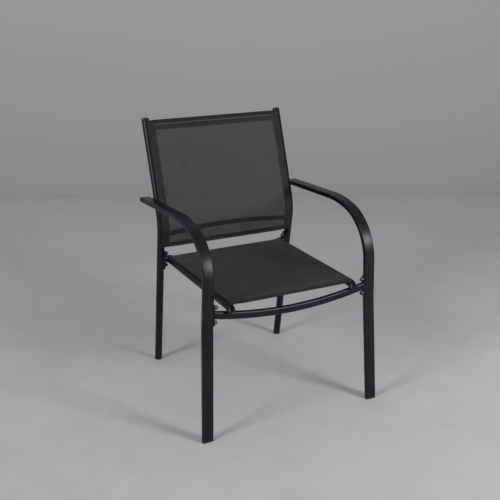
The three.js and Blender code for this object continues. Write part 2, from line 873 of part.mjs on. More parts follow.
function seatSling() {
  const rows = slingMarks(railRoute, seatSlingStart, seatSlingEnd).map((mark) => {
    const { point, outward } = railRoute.at(mark);
    const share = (mark - seatSlingStart) / (seatSlingEnd - seatSlingStart);
    const [left, right] = [-1, 1].map((side) => {
      const edge = point.clone().setX(side * slingEdge);
      return edge.applyMatrix4(railMatrix(side));
    });
    return { left, right, outward, sag: seatSlingSag * sagShare(share) };
  });
  const flanges = [-1, 1].map((side) => {
    const flange = sweep(slingFlange(), railRoute, seatSlingStart + hemStep, seatRodEnd);
    return placed(flange, railMatrix(side));
  });
  return join([sheet(rows), ...flanges]);
}

function rod(route, from, to) {
  return sweep(circle(rodRadius, rodOffset), route, from, to, roundSides / 2);
}

// Assembly
const chair = new THREE.Group();

function piece(parent, name, geometry, finish) {
  const mesh = new THREE.Mesh(geometry, new THREE.MeshStandardMaterial(finishes[finish]));
  mesh.name = name;
  parent.add(mesh);
}

function groupAt(matrix) {
  const group = new THREE.Group();
  group.applyMatrix4(matrix);
  chair.add(group);
  return group;
}

const levels = ['lower', 'upper'];
for (const [side, word] of [[-1, 'left'], [1, 'right']]) {
  const arm = groupAt(armFrameMatrix(side));
  piece(arm, `arm_leg_${word}`, armLegTube(side), 'frame');
  piece(arm, `front_foot_${word}`, frontFoot(side), 'plastic');
  piece(arm, `arm_end_plug_${word}`, armEndPlug(), 'plastic');
  piece(arm, `front_bracket_${word}`, frontBracketPlate(side), 'frame');
  boltMarks(frontBracketMark).forEach((mark, i) => {
    piece(arm, `front_bolt_${word}_${levels[i]}`, frontBolt(side, mark), 'bolt');
    piece(arm, `front_nut_${word}_${levels[i]}`, frontNut(side, mark), 'bolt');
  });
  piece(arm, `arm_bolt_${word}`, armBoltPiece(side), 'bolt');
  piece(arm, `arm_nut_${word}`, armNut(side), 'bolt');
  piece(arm, `arm_spacer_${word}`, armSpacer(side), 'plastic');

  const post = groupAt(postMatrix(side));
  piece(post, `back_post_${word}`, backPost(side), 'frame');
  piece(post, `rear_foot_${word}`, rearFoot(), 'plastic');
  piece(post, `post_cap_${word}`, postCap(), 'plastic');
  piece(post, `rear_bracket_${word}`, rearBracketSaddle(side), 'frame');
  boltMarks(rearBracketMark).forEach((mark, i) => {
    piece(post, `rear_bolt_${word}_${levels[i]}`, rearBolt(side, mark), 'bolt');
    piece(post, `rear_nut_${word}_${levels[i]}`, rearNut(side, mark), 'bolt');
  });
  piece(post, `back_sling_rod_${word}`, rod(postRoute, backSlingMark, backRodTop), 'rod');

  const rail = groupAt(railMatrix(side));
  piece(rail, `seat_rail_${word}`, seatRail(side), 'frame');
  piece(rail, `seat_sling_rod_${word}`, rod(railRoute, seatSlingStart, seatRodEnd), 'rod');
}
piece(chair, 'seat_front_bar', seatFrontBar(), 'frame');
piece(chair, 'seat_rear_bar', seatRearBar(), 'frame');
piece(chair, 'back_top_bar', backTopBar(), 'frame');
piece(chair, 'back_spreader_bow', backSpreader(), 'frame');
piece(chair, 'back_sling', backSling(), 'fabric');
piece(chair, 'seat_sling', seatSling(), 'fabric');

// The origin is on the floor, under the middle of the whole chair
const bounds = new THREE.Box3().setFromObject(chair);
chair.position.y = -(bounds.min.y + bounds.max.y) / 2;

const assembly = new THREE.Group();
assembly.name = 'sling_patio_chair';
assembly.add(chair);

export default assembly;
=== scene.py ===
"""Looks of the sling patio chair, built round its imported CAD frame.
Metres: +X right, +Y to the rear, +Z up. Sizes are named in millimetres and multiplied by MM."""

from math import asin, atan, atan2, ceil, copysign, cos, hypot, inf, pi, sin, sqrt, tan

import bmesh
import bpy
from mathutils import Matrix, Vector
from mathutils.bvhtree import BVHTree


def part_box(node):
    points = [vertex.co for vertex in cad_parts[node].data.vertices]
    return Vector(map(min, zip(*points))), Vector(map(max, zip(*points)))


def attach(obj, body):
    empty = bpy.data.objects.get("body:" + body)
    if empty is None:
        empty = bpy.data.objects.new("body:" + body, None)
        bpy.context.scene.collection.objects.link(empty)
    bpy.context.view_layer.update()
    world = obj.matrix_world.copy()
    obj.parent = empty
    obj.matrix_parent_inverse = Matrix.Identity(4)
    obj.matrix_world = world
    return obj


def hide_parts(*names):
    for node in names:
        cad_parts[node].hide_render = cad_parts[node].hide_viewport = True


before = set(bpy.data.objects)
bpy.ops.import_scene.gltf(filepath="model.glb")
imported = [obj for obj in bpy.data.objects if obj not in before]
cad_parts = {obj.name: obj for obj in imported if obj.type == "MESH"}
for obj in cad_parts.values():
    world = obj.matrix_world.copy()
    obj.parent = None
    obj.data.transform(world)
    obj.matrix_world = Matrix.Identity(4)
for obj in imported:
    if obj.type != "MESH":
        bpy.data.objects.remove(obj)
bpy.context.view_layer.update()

MM = 0.001
DEGREE = pi / 180
AXIS_X = Vector((1, 0, 0))
AXIS_Z = Vector((0, 0, 1))
SIDES = ((-1, "left"), (1, "right"))

# Camera
CAMERA_PLACE = (-1.0347, -2.1200, 1.2995)
CAMERA_YAW = 25.945 * DEGREE
CAMERA_PITCH = 19.467 * DEGREE
CAMERA_ROLL = -0.04 * DEGREE
CAMERA_FOCAL_PIXELS = 765.6
PICTURE_PIXELS = 500

# Sizes that the CAD source has too
FIT_GAP = 0.3 * MM
TUBE_RADIUS = 12.5 * MM
BORE_RADIUS = 11 * MM
ARM_WIDTH = 34 * MM
ARM_DEPTH = 15 * MM
POST_X = 242.5 * MM
REAR_LEG_LENGTH = 505 * MM
REAR_LEG_RAKE = 9.7 * DEGREE
POST_BEND_RADIUS = 164 * MM
BACK_RECLINE = 20 * DEGREE
BACK_LENGTH = 301 * MM
LEG_KICK = 3.3 * DEGREE
LEG_KICK_LENGTH = 345 * MM
LEG_KICK_RADIUS = 250 * MM
LEG_UPPER_LENGTH = 122 * MM
ARCH_FRONT = (146.5 * MM, 75.8 * DEGREE)
ARCH_REAR = (367.5 * MM, 18.2 * DEGREE)
ARM_LENGTH = 287 * MM
ARM_BOLT_INSET = 29 * MM
ARM_SPACER_LENGTH = 4 * MM
FRAME_LEAN = 2.46 * DEGREE
FRAME_TOE = 1.4 * DEGREE
FRONT_BRACKET_HEIGHT = 397 * MM
REAR_BRACKET_HEIGHT = 404 * MM
FRONT_BAR_RISE = 1 * MM
REAR_BAR_RISE = 3 * MM
SEAT_BAR_BOW = 27 * MM
FRONT_BAR_HEIGHT = 25 * MM
FRONT_BAR_DEPTH = 15 * MM
RAIL_FRONT_X = POST_X - 36.5 * MM
RAIL_REAR_X = POST_X - 32 * MM
RAIL_NOSE_RADIUS = 20 * MM
RAIL_NOSE_TURN = 73 * DEGREE
RAIL_NOSE_REACH = 3 * MM
RAIL_RISE = 2.3 * MM
BRACKET_HEIGHT = 66 * MM
BRACKET_WIDTH = 15 * MM
BRACKET_THICKNESS = 3 * MM
BRACKET_CORNER = 3 * MM
SADDLE_WIDTH = 20 * MM
BOLT_PITCH = 46 * MM
FOOT_LIP = 4 * MM
PLUG_LIP = 2.5 * MM
PLUG_STEM = 16 * MM
CAP_HEIGHT = 6.5 * MM
CAP_EDGE = 1.5 * MM
BOLT_FLANGE_RADIUS = 7 * MM
BOLT_FLANGE_HEIGHT = 1.6 * MM
BOLT_HEAD_RADIUS = 5.75 * MM
BOLT_HEAD_HEIGHT = 11 * MM
BOLT_DOME_HEIGHT = 5 * MM
TOP_BAR_INSET = 16 * MM
SPREADER_RADIUS = 8 * MM
SPREADER_HEIGHT = 494 * MM
SPREADER_BOW = 32 * MM
SLIT_WIDTH = 3 * MM
ROD_RADIUS = 2.5 * MM
BACK_SLING_BOTTOM = 457 * MM
BACK_SLING_SAG = 8 * MM
HEM_HALF = 217 * MM
HEM_TAB_RISE = 8 * MM
SEAT_SLING_SAG = 10 * MM
CLOTH_MIDDLE = TUBE_RADIUS + 0.9 * MM

# Edges of the seat sling, where the scene follows the photo further than the CAD
SEAT_SLING_NOSE_TURN = 30 * DEGREE
SEAT_SLING_REAR_GAP = 13 * MM

# Fineness of curves, edges and cloth
SHARP_ANGLE = 35 * DEGREE
BEVEL_ANGLE = 40 * DEGREE
SWEEP_STEP = 2.5 * DEGREE
LONGEST_STEP = 40 * MM
HALVINGS = 50
ROUND_SIDES = 48
BOLT_SIDES = 32
WELD_SIDES = 8
STITCH_SIDES = 6
BOW_STEPS = 48
CORNER_STEPS = 6
DOME_STEPS = 10
SADDLE_STEPS = 12
CLOTH_ROW = 9 * MM
CLOTH_COLUMNS = 48
HEM_STEPS = 4
FOLD_STEPS = 6
WRAP_STEPS = 8
SLEEVE_STEPS = 28

# Edges, cuts and welds of the scene
ARM_CORNER = 3.2 * MM
TUBE_BEVEL = 0.4 * MM
PLATE_BEVEL = 0.5 * MM
FOOT_BEVEL = 0.9 * MM
CAP_CHAMFER = 0.2 * MM
BOLT_ROUND = 0.35 * MM
CUT_OVERLAP = FIT_GAP / 3
CUTTER_OVERRUN = 30 * MM
WELD_RADIUS = 1.7 * MM
WELD_SINK_SHARE = 0.4
WELD_RIPPLE_SHARE = 0.12

# Rings of the arm's end plug: (rise above the tube's end, inset of the edge)
PLUG_RINGS = (
    (FIT_GAP, 0),
    (0.55 * PLUG_LIP, 0),
    (0.85 * PLUG_LIP, 0.7 * MM),
    (PLUG_LIP + FIT_GAP, 2.2 * MM),
)

# Weave, layers and hems of the cloth
WEAVE_PITCH = 1.6 * MM
YARN_SHARE = 0.593
WARP_SPREAD_SHARE = 0.05
WEFT_SPREAD_SHARE = 0.01
SLUB_LENGTH = 40 * MM
SLUB_STEP = 0.45
CLOTH_THICKNESS = 0.3 * MM
LAYER_STEP = 0.45 * MM
FOLD_RADIUS = LAYER_STEP / 2
HEM_PHASE = {-1: 0.26 * WEAVE_PITCH, 1: 0.16 * WEAVE_PITCH}
SEAT_HEM_WIDTH = 24 * MM
END_HEM_LENGTH = 15 * MM
TOP_HEM_LENGTH = 34.5 * MM
SLEEVE_TAIL = 2.2 * MM

# Cloth at a slit: (inward from the tube's axis, depth under the front layer) on its way in and out,
# and its turn round the rod between them
SLIT_ENTRY = ((3 * MM, 0), (1.2 * MM, 0), (0.1 * MM, 0.45 * MM), (-0.5 * MM, 1.6 * MM), (-0.6 * MM, 2.9 * MM))
SLIT_EXIT = ((0.6 * MM, 2.9 * MM), (0.7 * MM, 1.9 * MM), (1.6 * MM, LAYER_STEP), (3.5 * MM, LAYER_STEP))
WRAP_RADIUS = ROD_RADIUS + 0.6 * MM
WRAP_START = 0.62 * pi
WRAP_TURN = 1.76 * pi
WRAP_WIDTH_SHARE = 0.95

# Stitches: the profile has the place along a stitch and its thickness there, as shares
SIDE_SEAM_INSET = 2.5 * MM
SLEEVE_SEAM_RISE = 1.5 * MM
# The top seam sits on the top bar's highlight line, which its light grey thread paints in
TOP_SEAM_DROP = 3.5 * MM
TWIN_SEAM_STEP = 1.6 * MM
END_SEAM_RISE = 4 * MM
STITCH_PITCH = 3.6 * MM
STITCH_LENGTH = 2.7 * MM
STITCH_RADIUS = 0.38 * MM
STITCH_RISE_SHARE = 0.2
STITCH_SHARES = ((-0.5, 0.25), (-0.32, 0.9), (0, 1), (0.32, 0.9), (0.5, 0.25))

# Tints: red, green and blue of a grey
STEEL_TINT = (0.62, 1.0, 1.25)
CLOTH_TINT = (0.86, 1.0, 1.12)
FLOOR_TINT = (0.985, 1, 1.01)
WALL_TINT = (0.985, 1, 1.02)

# Stage in metres, and the world's strength
STAGE_REACH = 12
WALL_DISTANCE = 4.78
WALL_TURN = -1 * DEGREE
WORLD_HORIZON = 0.25
WORLD_ZENITH = 0.5
LAMP_AIM = (0, 0, 0.4)

# Each lamp: name, place, side of its square, watts
LAMPS = (
    ("front_right", (1.48, -2.65, 1.75), 0.75, 57),
    ("left", (-4.6, -1.45, 2.6), 1.3, 120),
)


# Camera, made first
def make_camera():
    data = bpy.data.cameras.new("camera")
    data.lens = CAMERA_FOCAL_PIXELS / PICTURE_PIXELS * data.sensor_width
    camera = bpy.data.objects.new("camera", data)
    bpy.context.scene.collection.objects.link(camera)
    turn = Matrix.Rotation(-CAMERA_YAW, 4, "Z") @ Matrix.Rotation(pi / 2 - CAMERA_PITCH, 4, "X")
    camera.matrix_world = Matrix.Translation(CAMERA_PLACE) @ turn @ Matrix.Rotation(CAMERA_ROLL, 4, "Z")
    bpy.context.scene.camera = camera


# Routes of the bent tubes, as in the CAD source
class Route:
    """Straights and bends laid end to end in the Y-Z plane. A heading is the angle from +Z toward +Y."""

    def __init__(self, y, z, heading, moves):
        self.parts = []
        self.length = 0
        for radius, amount in moves:
            length = abs(radius * amount) if radius else amount
            turn = copysign(radius, amount) if radius else None
            self.parts.append((self.length, length, turn, y, z, heading))
            y, z, heading = self.along(self.parts[-1], length)
            self.length += length

    @staticmethod
    def along(part, distance):
        _, _, radius, y, z, heading = part
        if radius is None:
            return y + sin(heading) * distance, z + cos(heading) * distance, heading
        turned = heading + distance / radius
        y += radius * (cos(heading) - cos(turned))
        z += radius * (sin(turned) - sin(heading))
        return y, z, turned

    def at(self, distance):
        """(point, tangent, outward) of the route, with outward on the left of the heading."""
        part = [p for p in self.parts if p[0] <= max(distance, 0)][-1]
        inside = min(distance - part[0], part[1])
        y, z, heading = self.along(part, inside)
        tangent = Vector((0, sin(heading), cos(heading)))
        outward = Vector((0, -cos(heading), sin(heading)))
        return Vector((0, y, z)) + tangent * (distance - part[0] - inside), tangent, outward

    def at_height(self, height):
        low, high = 0, self.length
        for _ in range(HALVINGS):
            middle = (low + high) / 2
            if self.at(middle)[0].z < height:
                low = middle
            else:
                high = middle
        return low

    def marks(self, start, end, longest=inf):
        """Distances from start to end with a step for each small turn, and none longer than asked."""
        marks = [start]
        for begin, length, radius, *_ in self.parts:
            steps = 1 if radius is None else ceil(length / abs(radius) / SWEEP_STEP)
            for i in range(steps + 1):
                mark = begin + length * i / steps
                if marks[-1] + FIT_GAP < mark < end - FIT_GAP:
                    marks.append(mark)
        marks.append(end)
        fine = [start]
        for low, high in zip(marks, marks[1:]):
            steps = max(1, ceil((high - low) / longest))
            fine += [low + (high - low) * (i + 1) / steps for i in range(steps)]
        return fine


class Bow:
    """A shallow arc across the chair: its ends are level at zero and its middle is lower by the bow."""

    def __init__(self, half_span, bow, overrun):
        self.radius = (half_span**2 + bow**2) / (2 * bow)
        self.reach = asin(half_span / self.radius) + overrun / self.radius
        self.drop = self.radius - bow

    def height_at(self, x):
        return self.drop - sqrt(self.radius**2 - x**2)

    def frames(self, place, turn=Matrix.Identity(3)):
        """(point, across, outward) along the arc, turned about X and put in place."""
        frames = []
        for i in range(BOW_STEPS + 1):
            angle = (2 * i / BOW_STEPS - 1) * self.reach
            point = Vector((sin(angle) * self.radius, 0, self.drop - cos(angle) * self.radius))
            outward = turn @ Vector((-sin(angle), 0, cos(angle)))
            frames.append((turn @ point + place, turn @ Vector((0, -1, 0)), outward))
        return frames


post_bend_tangent = POST_BEND_RADIUS * tan((REAR_LEG_RAKE + BACK_RECLINE) / 2)
post_route = Route((REAR_LEG_LENGTH + post_bend_tangent) * sin(REAR_LEG_RAKE), 0, -REAR_LEG_RAKE, [
    (None, REAR_LEG_LENGTH),
    (POST_BEND_RADIUS, REAR_LEG_RAKE + BACK_RECLINE),
    (None, BACK_LENGTH),
])
arm_route = Route(0, 0, LEG_KICK, [
    (None, LEG_KICK_LENGTH),
    (LEG_KICK_RADIUS, -LEG_KICK),
    (None, LEG_UPPER_LENGTH),
    ARCH_FRONT,
    ARCH_REAR,
    (None, ARM_LENGTH),
])

# Places on the routes
rear_bracket_mark = post_route.at_height(REAR_BRACKET_HEIGHT)
rear_bracket_place, rear_bracket_along, _ = post_route.at(rear_bracket_mark)
top_bar_mark = post_route.length - TOP_BAR_INSET
top_bar_place, top_bar_along, top_bar_out = post_route.at(top_bar_mark)
spreader_place, spreader_along, _ = post_route.at(post_route.at_height(SPREADER_HEIGHT))
arm_bolt_place = arm_route.at(arm_route.length - ARM_BOLT_INSET)[0]
front_bracket_mark = arm_route.at_height(FRONT_BRACKET_HEIGHT)
front_bracket_place, front_bracket_along, _ = arm_route.at(front_bracket_mark)
bracket_inner_face = ARM_WIDTH / 2 + FIT_GAP + BRACKET_THICKNESS
saddle_face = TUBE_RADIUS + FIT_GAP + BRACKET_THICKNESS

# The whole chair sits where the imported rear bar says
rear_bar_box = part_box("seat_rear_bar")
chair_shift = Vector((0, (rear_bar_box[0].y + rear_bar_box[1].y) / 2 - rear_bracket_place.y, 0))


def tilt(tangent, start=0):
    """A turn about X from the start angle to the heading of a tangent."""
    return Matrix.Rotation(start - atan2(tangent.y, tangent.z), 4, "X")


def arm_matrix(side):
    """Place of an arm frame: it leans inward and toes out, and its bolt meets the post's axis."""
    turn = Matrix.Rotation(-side * FRAME_LEAN, 4, "Y")
    turn = turn @ Matrix.Rotation(-side * FRAME_TOE, 4, "Z")
    face = turn @ (arm_bolt_place - AXIS_X * (side * ARM_WIDTH / 2))
    post = post_route.at(post_route.at_height(face.z))[0]
    face_x = side * (POST_X + TUBE_RADIUS + ARM_SPACER_LENGTH)
    return Matrix.Translation(Vector((face_x - face.x, post.y - face.y, 0)) + chair_shift) @ turn


def post_matrix(side):
    return Matrix.Translation(AXIS_X * (side * POST_X) + chair_shift)


# Seat bars and rails
front_bar_end = arm_matrix(1) @ (front_bracket_place - AXIS_X * (bracket_inner_face + FIT_GAP))
front_bar_z = front_bar_end.z + FRONT_BAR_RISE
rear_bar_z = rear_bracket_place.z + REAR_BAR_RISE
rear_bar_half = POST_X - saddle_face - FIT_GAP
front_bow = Bow(front_bar_end.x, SEAT_BAR_BOW, 4 * BRACKET_THICKNESS)
rear_bow = Bow(rear_bar_half, SEAT_BAR_BOW, 4 * BRACKET_THICKNESS)
front_bar_place = Vector((0, front_bar_end.y, front_bar_z))
rear_bar_place = Vector((0, rear_bracket_place.y, rear_bar_z)) + chair_shift
front_bar_top = front_bar_z + front_bow.height_at(RAIL_FRONT_X) + FRONT_BAR_HEIGHT / 2
rail_front_z = front_bar_top + TUBE_RADIUS + RAIL_RISE
rail_rear_z = rear_bar_z + rear_bow.height_at(RAIL_REAR_X)
rail_run = rear_bar_place.y - front_bar_place.y
rail_toe = atan((RAIL_REAR_X - RAIL_FRONT_X) / rail_run)
rail_slope = atan((rail_front_z - rail_rear_z) / rail_run)
rail_straight = hypot(rail_run, RAIL_REAR_X - RAIL_FRONT_X, rail_front_z - rail_rear_z)
rail_heading = pi / 2 + rail_slope
nose_heading = rail_heading - RAIL_NOSE_TURN
rail_route = Route(
    sin(rail_heading) * RAIL_NOSE_REACH
    - RAIL_NOSE_RADIUS * (cos(nose_heading) - cos(rail_heading)),
    cos(rail_heading) * RAIL_NOSE_REACH
    - RAIL_NOSE_RADIUS * (sin(rail_heading) - sin(nose_heading)),
    nose_heading,
    [(RAIL_NOSE_RADIUS, RAIL_NOSE_TURN), (None, rail_straight - RAIL_NOSE_REACH)],
)


def rail_matrix(side):
    turn = Matrix.Rotation(-side * rail_toe, 4, "Z")
    return Matrix.Translation((side * RAIL_FRONT_X, front_bar_place.y, rail_front_z)) @ turn


# Sling places along the posts and rails
back_sling_mark = post_route.at_height(BACK_SLING_BOTTOM)
seat_sling_start = RAIL_NOSE_RADIUS * (RAIL_NOSE_TURN - SEAT_SLING_NOSE_TURN)
seat_sling_end = rail_route.length - SEAT_SLING_REAR_GAP


# Mesh helpers
def add_object(name, verts, faces, material, uvs=None, sharp=SHARP_ANGLE):
    mesh = bpy.data.meshes.new(name)
    mesh.from_pydata(verts, [], faces)
    if uvs is not None:
        layer = mesh.uv_layers.new(name="cloth")
        for loop in mesh.loops:
            layer.data[loop.index].uv = uvs[loop.vertex_index]
    mesh.materials.append(material)
    obj = bpy.data.objects.new(name, mesh)
    bpy.context.scene.collection.objects.link(obj)
    finish_shading(obj, sharp)
    return obj


def finish_shading(obj, sharp=SHARP_ANGLE):
    fix = bmesh.new()
    fix.from_mesh(obj.data)
    bmesh.ops.remove_doubles(fix, verts=fix.verts, dist=MM / 1000)
    bmesh.ops.recalc_face_normals(fix, faces=fix.faces)
    fix.to_mesh(obj.data)
    fix.free()
    obj.data.shade_smooth()
    obj.data.set_sharp_from_angle(angle=sharp)


def arc(radius, start, turn, steps):
    angles = [start + turn * i / steps for i in range(steps + 1)]
    return [(radius * cos(a), radius * sin(a)) for a in angles]


def circle_section(radius, sides=ROUND_SIDES):
    return arc(radius, 0, 2 * pi, sides)[:-1]


def rounded_section(width, depth, corner):
    points = []
    x, y = width / 2 - corner, depth / 2 - corner
    for quarter, (sx, sy) in enumerate(((1, 1), (-1, 1), (-1, -1), (1, -1))):
        quadrant = arc(corner, quarter * pi / 2, pi / 2, CORNER_STEPS)
        points += [(sx * x + a, sy * y + b) for a, b in quadrant]
    return points


def oval_section(width, height, grow=0):
    """Flat oval grown on all sides: two half circles joined by straight sides."""
    points = []
    for start, middle in ((0, (height - width) / 2), (pi, (width - height) / 2)):
        half_circle = arc(width / 2 + grow, start, pi, ROUND_SIDES // 2)
        points += [(a, middle + b) for a, b in half_circle]
    return points


def dome_profile(radius, base, height):
    """Quarter of an ellipse as (radius, rise) points, from the side at the base to the axis."""
    quadrant = arc(1, 0, pi / 2, DOME_STEPS)
    return [(radius * a, base + (height - base) * b) for a, b in quadrant]


def band(low, high, count, closed=True):
    """Faces between two rings of points that start at the indices low and high."""
    pairs = [(i, (i + 1) % count) for i in range(count if closed else count - 1)]
    return [(low + i, low + j, high + j, high + i) for i, j in pairs]


def tube_faces(start, count, rows):
    """Skin over rows of rings of points, with a flat cap at each end."""
    faces = []
    for row in range(rows - 1):
        low = start + row * count
        faces += band(low, low + count, count)
    last = start + (rows - 1) * count
    faces.append(tuple(start + i for i in reversed(range(count))))
    faces.append(tuple(last + i for i in range(count)))
    return faces


def add_tube(name, rings, material):
    verts = [point for ring in rings for point in ring]
    return add_object(name, verts, tube_faces(0, len(rings[0]), len(rings)), material)


def ring_at(section, point, across, outward):
    return [point + across * a + outward * b for a, b in section]


def route_rings(section, route, marks, matrix):
    rings = []
    for mark in marks:
        point, _, outward = route.at(mark)
        rings.append([matrix @ p for p in ring_at(section, point, AXIS_X, outward)])
    return rings


def lathe(name, profile, place, axis, material, sides):
    """Turned piece: (radius, rise) points about an axis. It starts and ends on the axis."""
    across = axis.orthogonal().normalized()
    other = axis.cross(across)
    rings = [ring_at(circle_section(r, sides), place + axis * z, across, other) for r, z in profile]
    return add_tube(name, rings, material)


def apply_modifiers(obj):
    graph = bpy.context.evaluated_depsgraph_get()
    mesh = bpy.data.meshes.new_from_object(obj.evaluated_get(graph))
    obj.modifiers.clear()
    obj.data = mesh


def bevel(obj, width, segments=2):
    modifier = obj.modifiers.new("bevel", "BEVEL")
    modifier.width = width
    modifier.segments = segments
    modifier.limit_method = "ANGLE"
    modifier.angle_limit = BEVEL_ANGLE
    apply_modifiers(obj)


def carve(obj, cutters):
    """Cuts the cutters out of the object and removes them."""
    for cutter in cutters:
        modifier = obj.modifiers.new("carve", "BOOLEAN")
        modifier.operation = "DIFFERENCE"
        modifier.solver = "EXACT"
        modifier.object = cutter
    apply_modifiers(obj)
    for cutter in cutters:
        bpy.data.objects.remove(cutter)
    finish_shading(obj)


def trim(obj, point, normal):
    """Removes what lies beyond a plane, on the side of its normal, and caps the cut."""
    fix = bmesh.new()
    fix.from_mesh(obj.data)
    geometry = fix.verts[:] + fix.edges[:] + fix.faces[:]
    cut = bmesh.ops.bisect_plane(fix, geom=geometry, plane_co=point, plane_no=normal, clear_outer=True)
    edges = [e for e in cut["geom_cut"] if isinstance(e, bmesh.types.BMEdge)]
    bmesh.ops.contextual_create(fix, geom=edges)
    fix.to_mesh(obj.data)
    fix.free()
    finish_shading(obj)


def place_piece(obj, slot, *nodes):
    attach(obj, "root")
    if nodes:
        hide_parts(*nodes)


def weld(name, skin_lines, target):
    """Bead of small ripples where the lines along a tube's skin meet the target's surface."""
    tree = BVHTree.FromObject(target, bpy.context.evaluated_depsgraph_get())
    hits = [first_hit(tree, line) for line in skin_lines]
    starts = [i for i, hit in enumerate(hits) if hit and not hits[i - 1]]
    start = starts[0] if starts else 0
    return bead(name, [h for h in hits[start:] + hits[:start] if h], closed=not starts)


def first_hit(tree, line):
    """(place, surface normal, direction) where a line of points first meets the surface, or None."""
    for a, b in zip(line, line[1:]):
        direction = b - a
        hit, normal, _, _ = tree.ray_cast(a, direction, direction.length)
        if hit is not None:
            return hit, normal, direction.normalized()
    return None


def bead(name, hits, closed):
    verts = []
    count = len(hits)
    for i, (hit, normal, direction) in enumerate(hits):
        before = hits[i - 1][0] if closed or i else hit
        after = hits[(i + 1) % count][0] if closed or i < count - 1 else hit
        along = (after - before).normalized()
        out = (normal - direction).normalized()
        out = (out - along * out.dot(along)).normalized()
        side = along.cross(out)
        radius = WELD_RADIUS * (1 + WELD_RIPPLE_SHARE * (i % 2))
        centre = hit - out * WELD_RADIUS * WELD_SINK_SHARE
        verts += ring_at(circle_section(radius, WELD_SIDES), centre, out, side)
    if closed:
        faces = []
        for i in range(count):
            faces += band(i * WELD_SIDES, (i + 1) % count * WELD_SIDES, WELD_SIDES)
    else:
        faces = tube_faces(0, WELD_SIDES, count)
    return add_object(name, verts, faces, steel, sharp=pi)


class Nodes:
    """The node tree of a material or world, written as sums."""

    def __init__(self, owner, shader="Principled BSDF"):
        owner.use_nodes = True
        self.owner = owner
        self.tree = owner.node_tree
        self.shader = self.tree.nodes[shader]

    def put(self, socket, value):
        if isinstance(value, bpy.types.NodeSocket):
            self.tree.links.new(value, socket)
        else:
            socket.default_value = value

    def node(self, kind, sockets, **settings):
        """Outputs of a new node, with values or links in its named or numbered sockets."""
        node = self.tree.nodes.new("ShaderNode" + kind)
        for name, value in settings.items():
            setattr(node, name, value)
        for key, value in sockets.items():
            self.put(node.inputs[key], value)
        return node.outputs

    def finish(self, **values):
        """The material or world, with values or links in its shader's named sockets."""
        for name, value in values.items():
            self.put(self.shader.inputs[name.replace("_", " ")], value)
        return self.owner

    def math(self, operation, *values):
        return self.node("Math", dict(enumerate(values)), operation=operation)[0]

    def coordinates(self, kind="Object"):
        return self.node("TexCoord", {})[kind]

    def split(self, vector):
        return self.node("SeparateXYZ", {0: vector})

    def noise(self, scale, detail=2, rough=0.5, vector=None):
        sockets = {"Scale": scale, "Detail": detail, "Roughness": rough}
        sockets["Vector"] = vector or self.coordinates()
        return self.node("TexNoise", sockets)["Fac"]

    def stretch(self, value, low, high, to_low=0, to_high=1):
        return self.node("MapRange", dict(enumerate((value, low, high, to_low, to_high))))[0]

    def vary(self, noise, low, high):
        """The middle of a noise's range, stretched from low to high."""
        return self.stretch(noise, 0.3, 0.7, low, high)

    def blend(self, share, first, second):
        return self.node("Mix", {0: share, 6: first, 7: second}, data_type="RGBA")[2]

    def greys(self, share, dark, light, tint=(1, 1, 1)):
        return self.blend(share, grey(dark, tint), grey(light, tint))

    def bump(self, height, distance, strength):
        sockets = {"Strength": strength, "Distance": distance, "Height": height}
        return self.node("Bump", sockets)[0]


def grey(value, tint):
    return (value * tint[0], value * tint[1], value * tint[2], 1)


def new_material(name):
    return Nodes(bpy.data.materials.new(name))


def powder_coat_material():
    """Satin black powder coat: fine orange peel, cloudy gloss and a few dull rubbed patches."""
    nodes = new_material("black_powder_coat")
    cloud = nodes.noise(22, 4)
    rub = nodes.stretch(nodes.noise(65, 6, 0.7), 0.56, 0.72)
    colour = nodes.greys(cloud, 0.004, 0.006, STEEL_TINT)
    return nodes.finish(
        Base_Color=nodes.blend(rub, colour, grey(0.014, STEEL_TINT)),
        Roughness=nodes.math("ADD", nodes.vary(cloud, 0.33, 0.39), nodes.math("MULTIPLY", rub, 0.06)),
        Specular_IOR_Level=0.31,
        Specular_Tint=(0.84, 0.94, 1, 1),
        Normal=nodes.bump(nodes.noise(1300), 0.05 * MM, 0.5),
    )


def plastic_material():
    """Matt moulded black plastic with a fine spark-eroded grain."""
    nodes = new_material("black_moulded_plastic")
    cloud = nodes.noise(40, 3)
    return nodes.finish(
        Base_Color=nodes.greys(cloud, 0.009, 0.014, STEEL_TINT),
        Roughness=nodes.vary(cloud, 0.42, 0.55),
        Normal=nodes.bump(nodes.noise(2600), 0.04 * MM, 0.6),
    )


def fastener_material():
    """Glossy black coated steel, a little worn to bright on its high spots."""
    nodes = new_material("black_fasteners")
    wear = nodes.stretch(nodes.noise(420, 4, 0.6), 0.62, 0.74)
    return nodes.finish(
        Base_Color=nodes.greys(wear, 0.012, 0.06, STEEL_TINT),
        Roughness=nodes.vary(nodes.noise(90, 3), 0.14, 0.24),
        Normal=nodes.bump(nodes.noise(900), 0.03 * MM, 0.4),
    )


def yarns(nodes, here, there, spread):
    """Yarns side by side along one axis: their count, number, place and rounded height.
    Their width varies along the other axis by the spread, a share of the pitch."""
    count = nodes.math("DIVIDE", here, WEAVE_PITCH)
    index = nodes.math("FLOOR", count)
    offset = nodes.math("ABSOLUTE", nodes.math("SUBTRACT", nodes.math("FRACT", count), 0.5))
    crown = nodes.math("COSINE", nodes.math("MULTIPLY", offset, pi / YARN_SHARE))
    spot = {0: nodes.math("MULTIPLY", index, SLUB_STEP), 1: nodes.math("DIVIDE", there, SLUB_LENGTH)}
    slub = nodes.noise(1, vector=nodes.node("CombineXYZ", spot)[0])
    half = nodes.vary(slub, YARN_SHARE / 2 - spread, YARN_SHARE / 2 + spread)
    return count, index, nodes.math("LESS_THAN", offset, half), crown


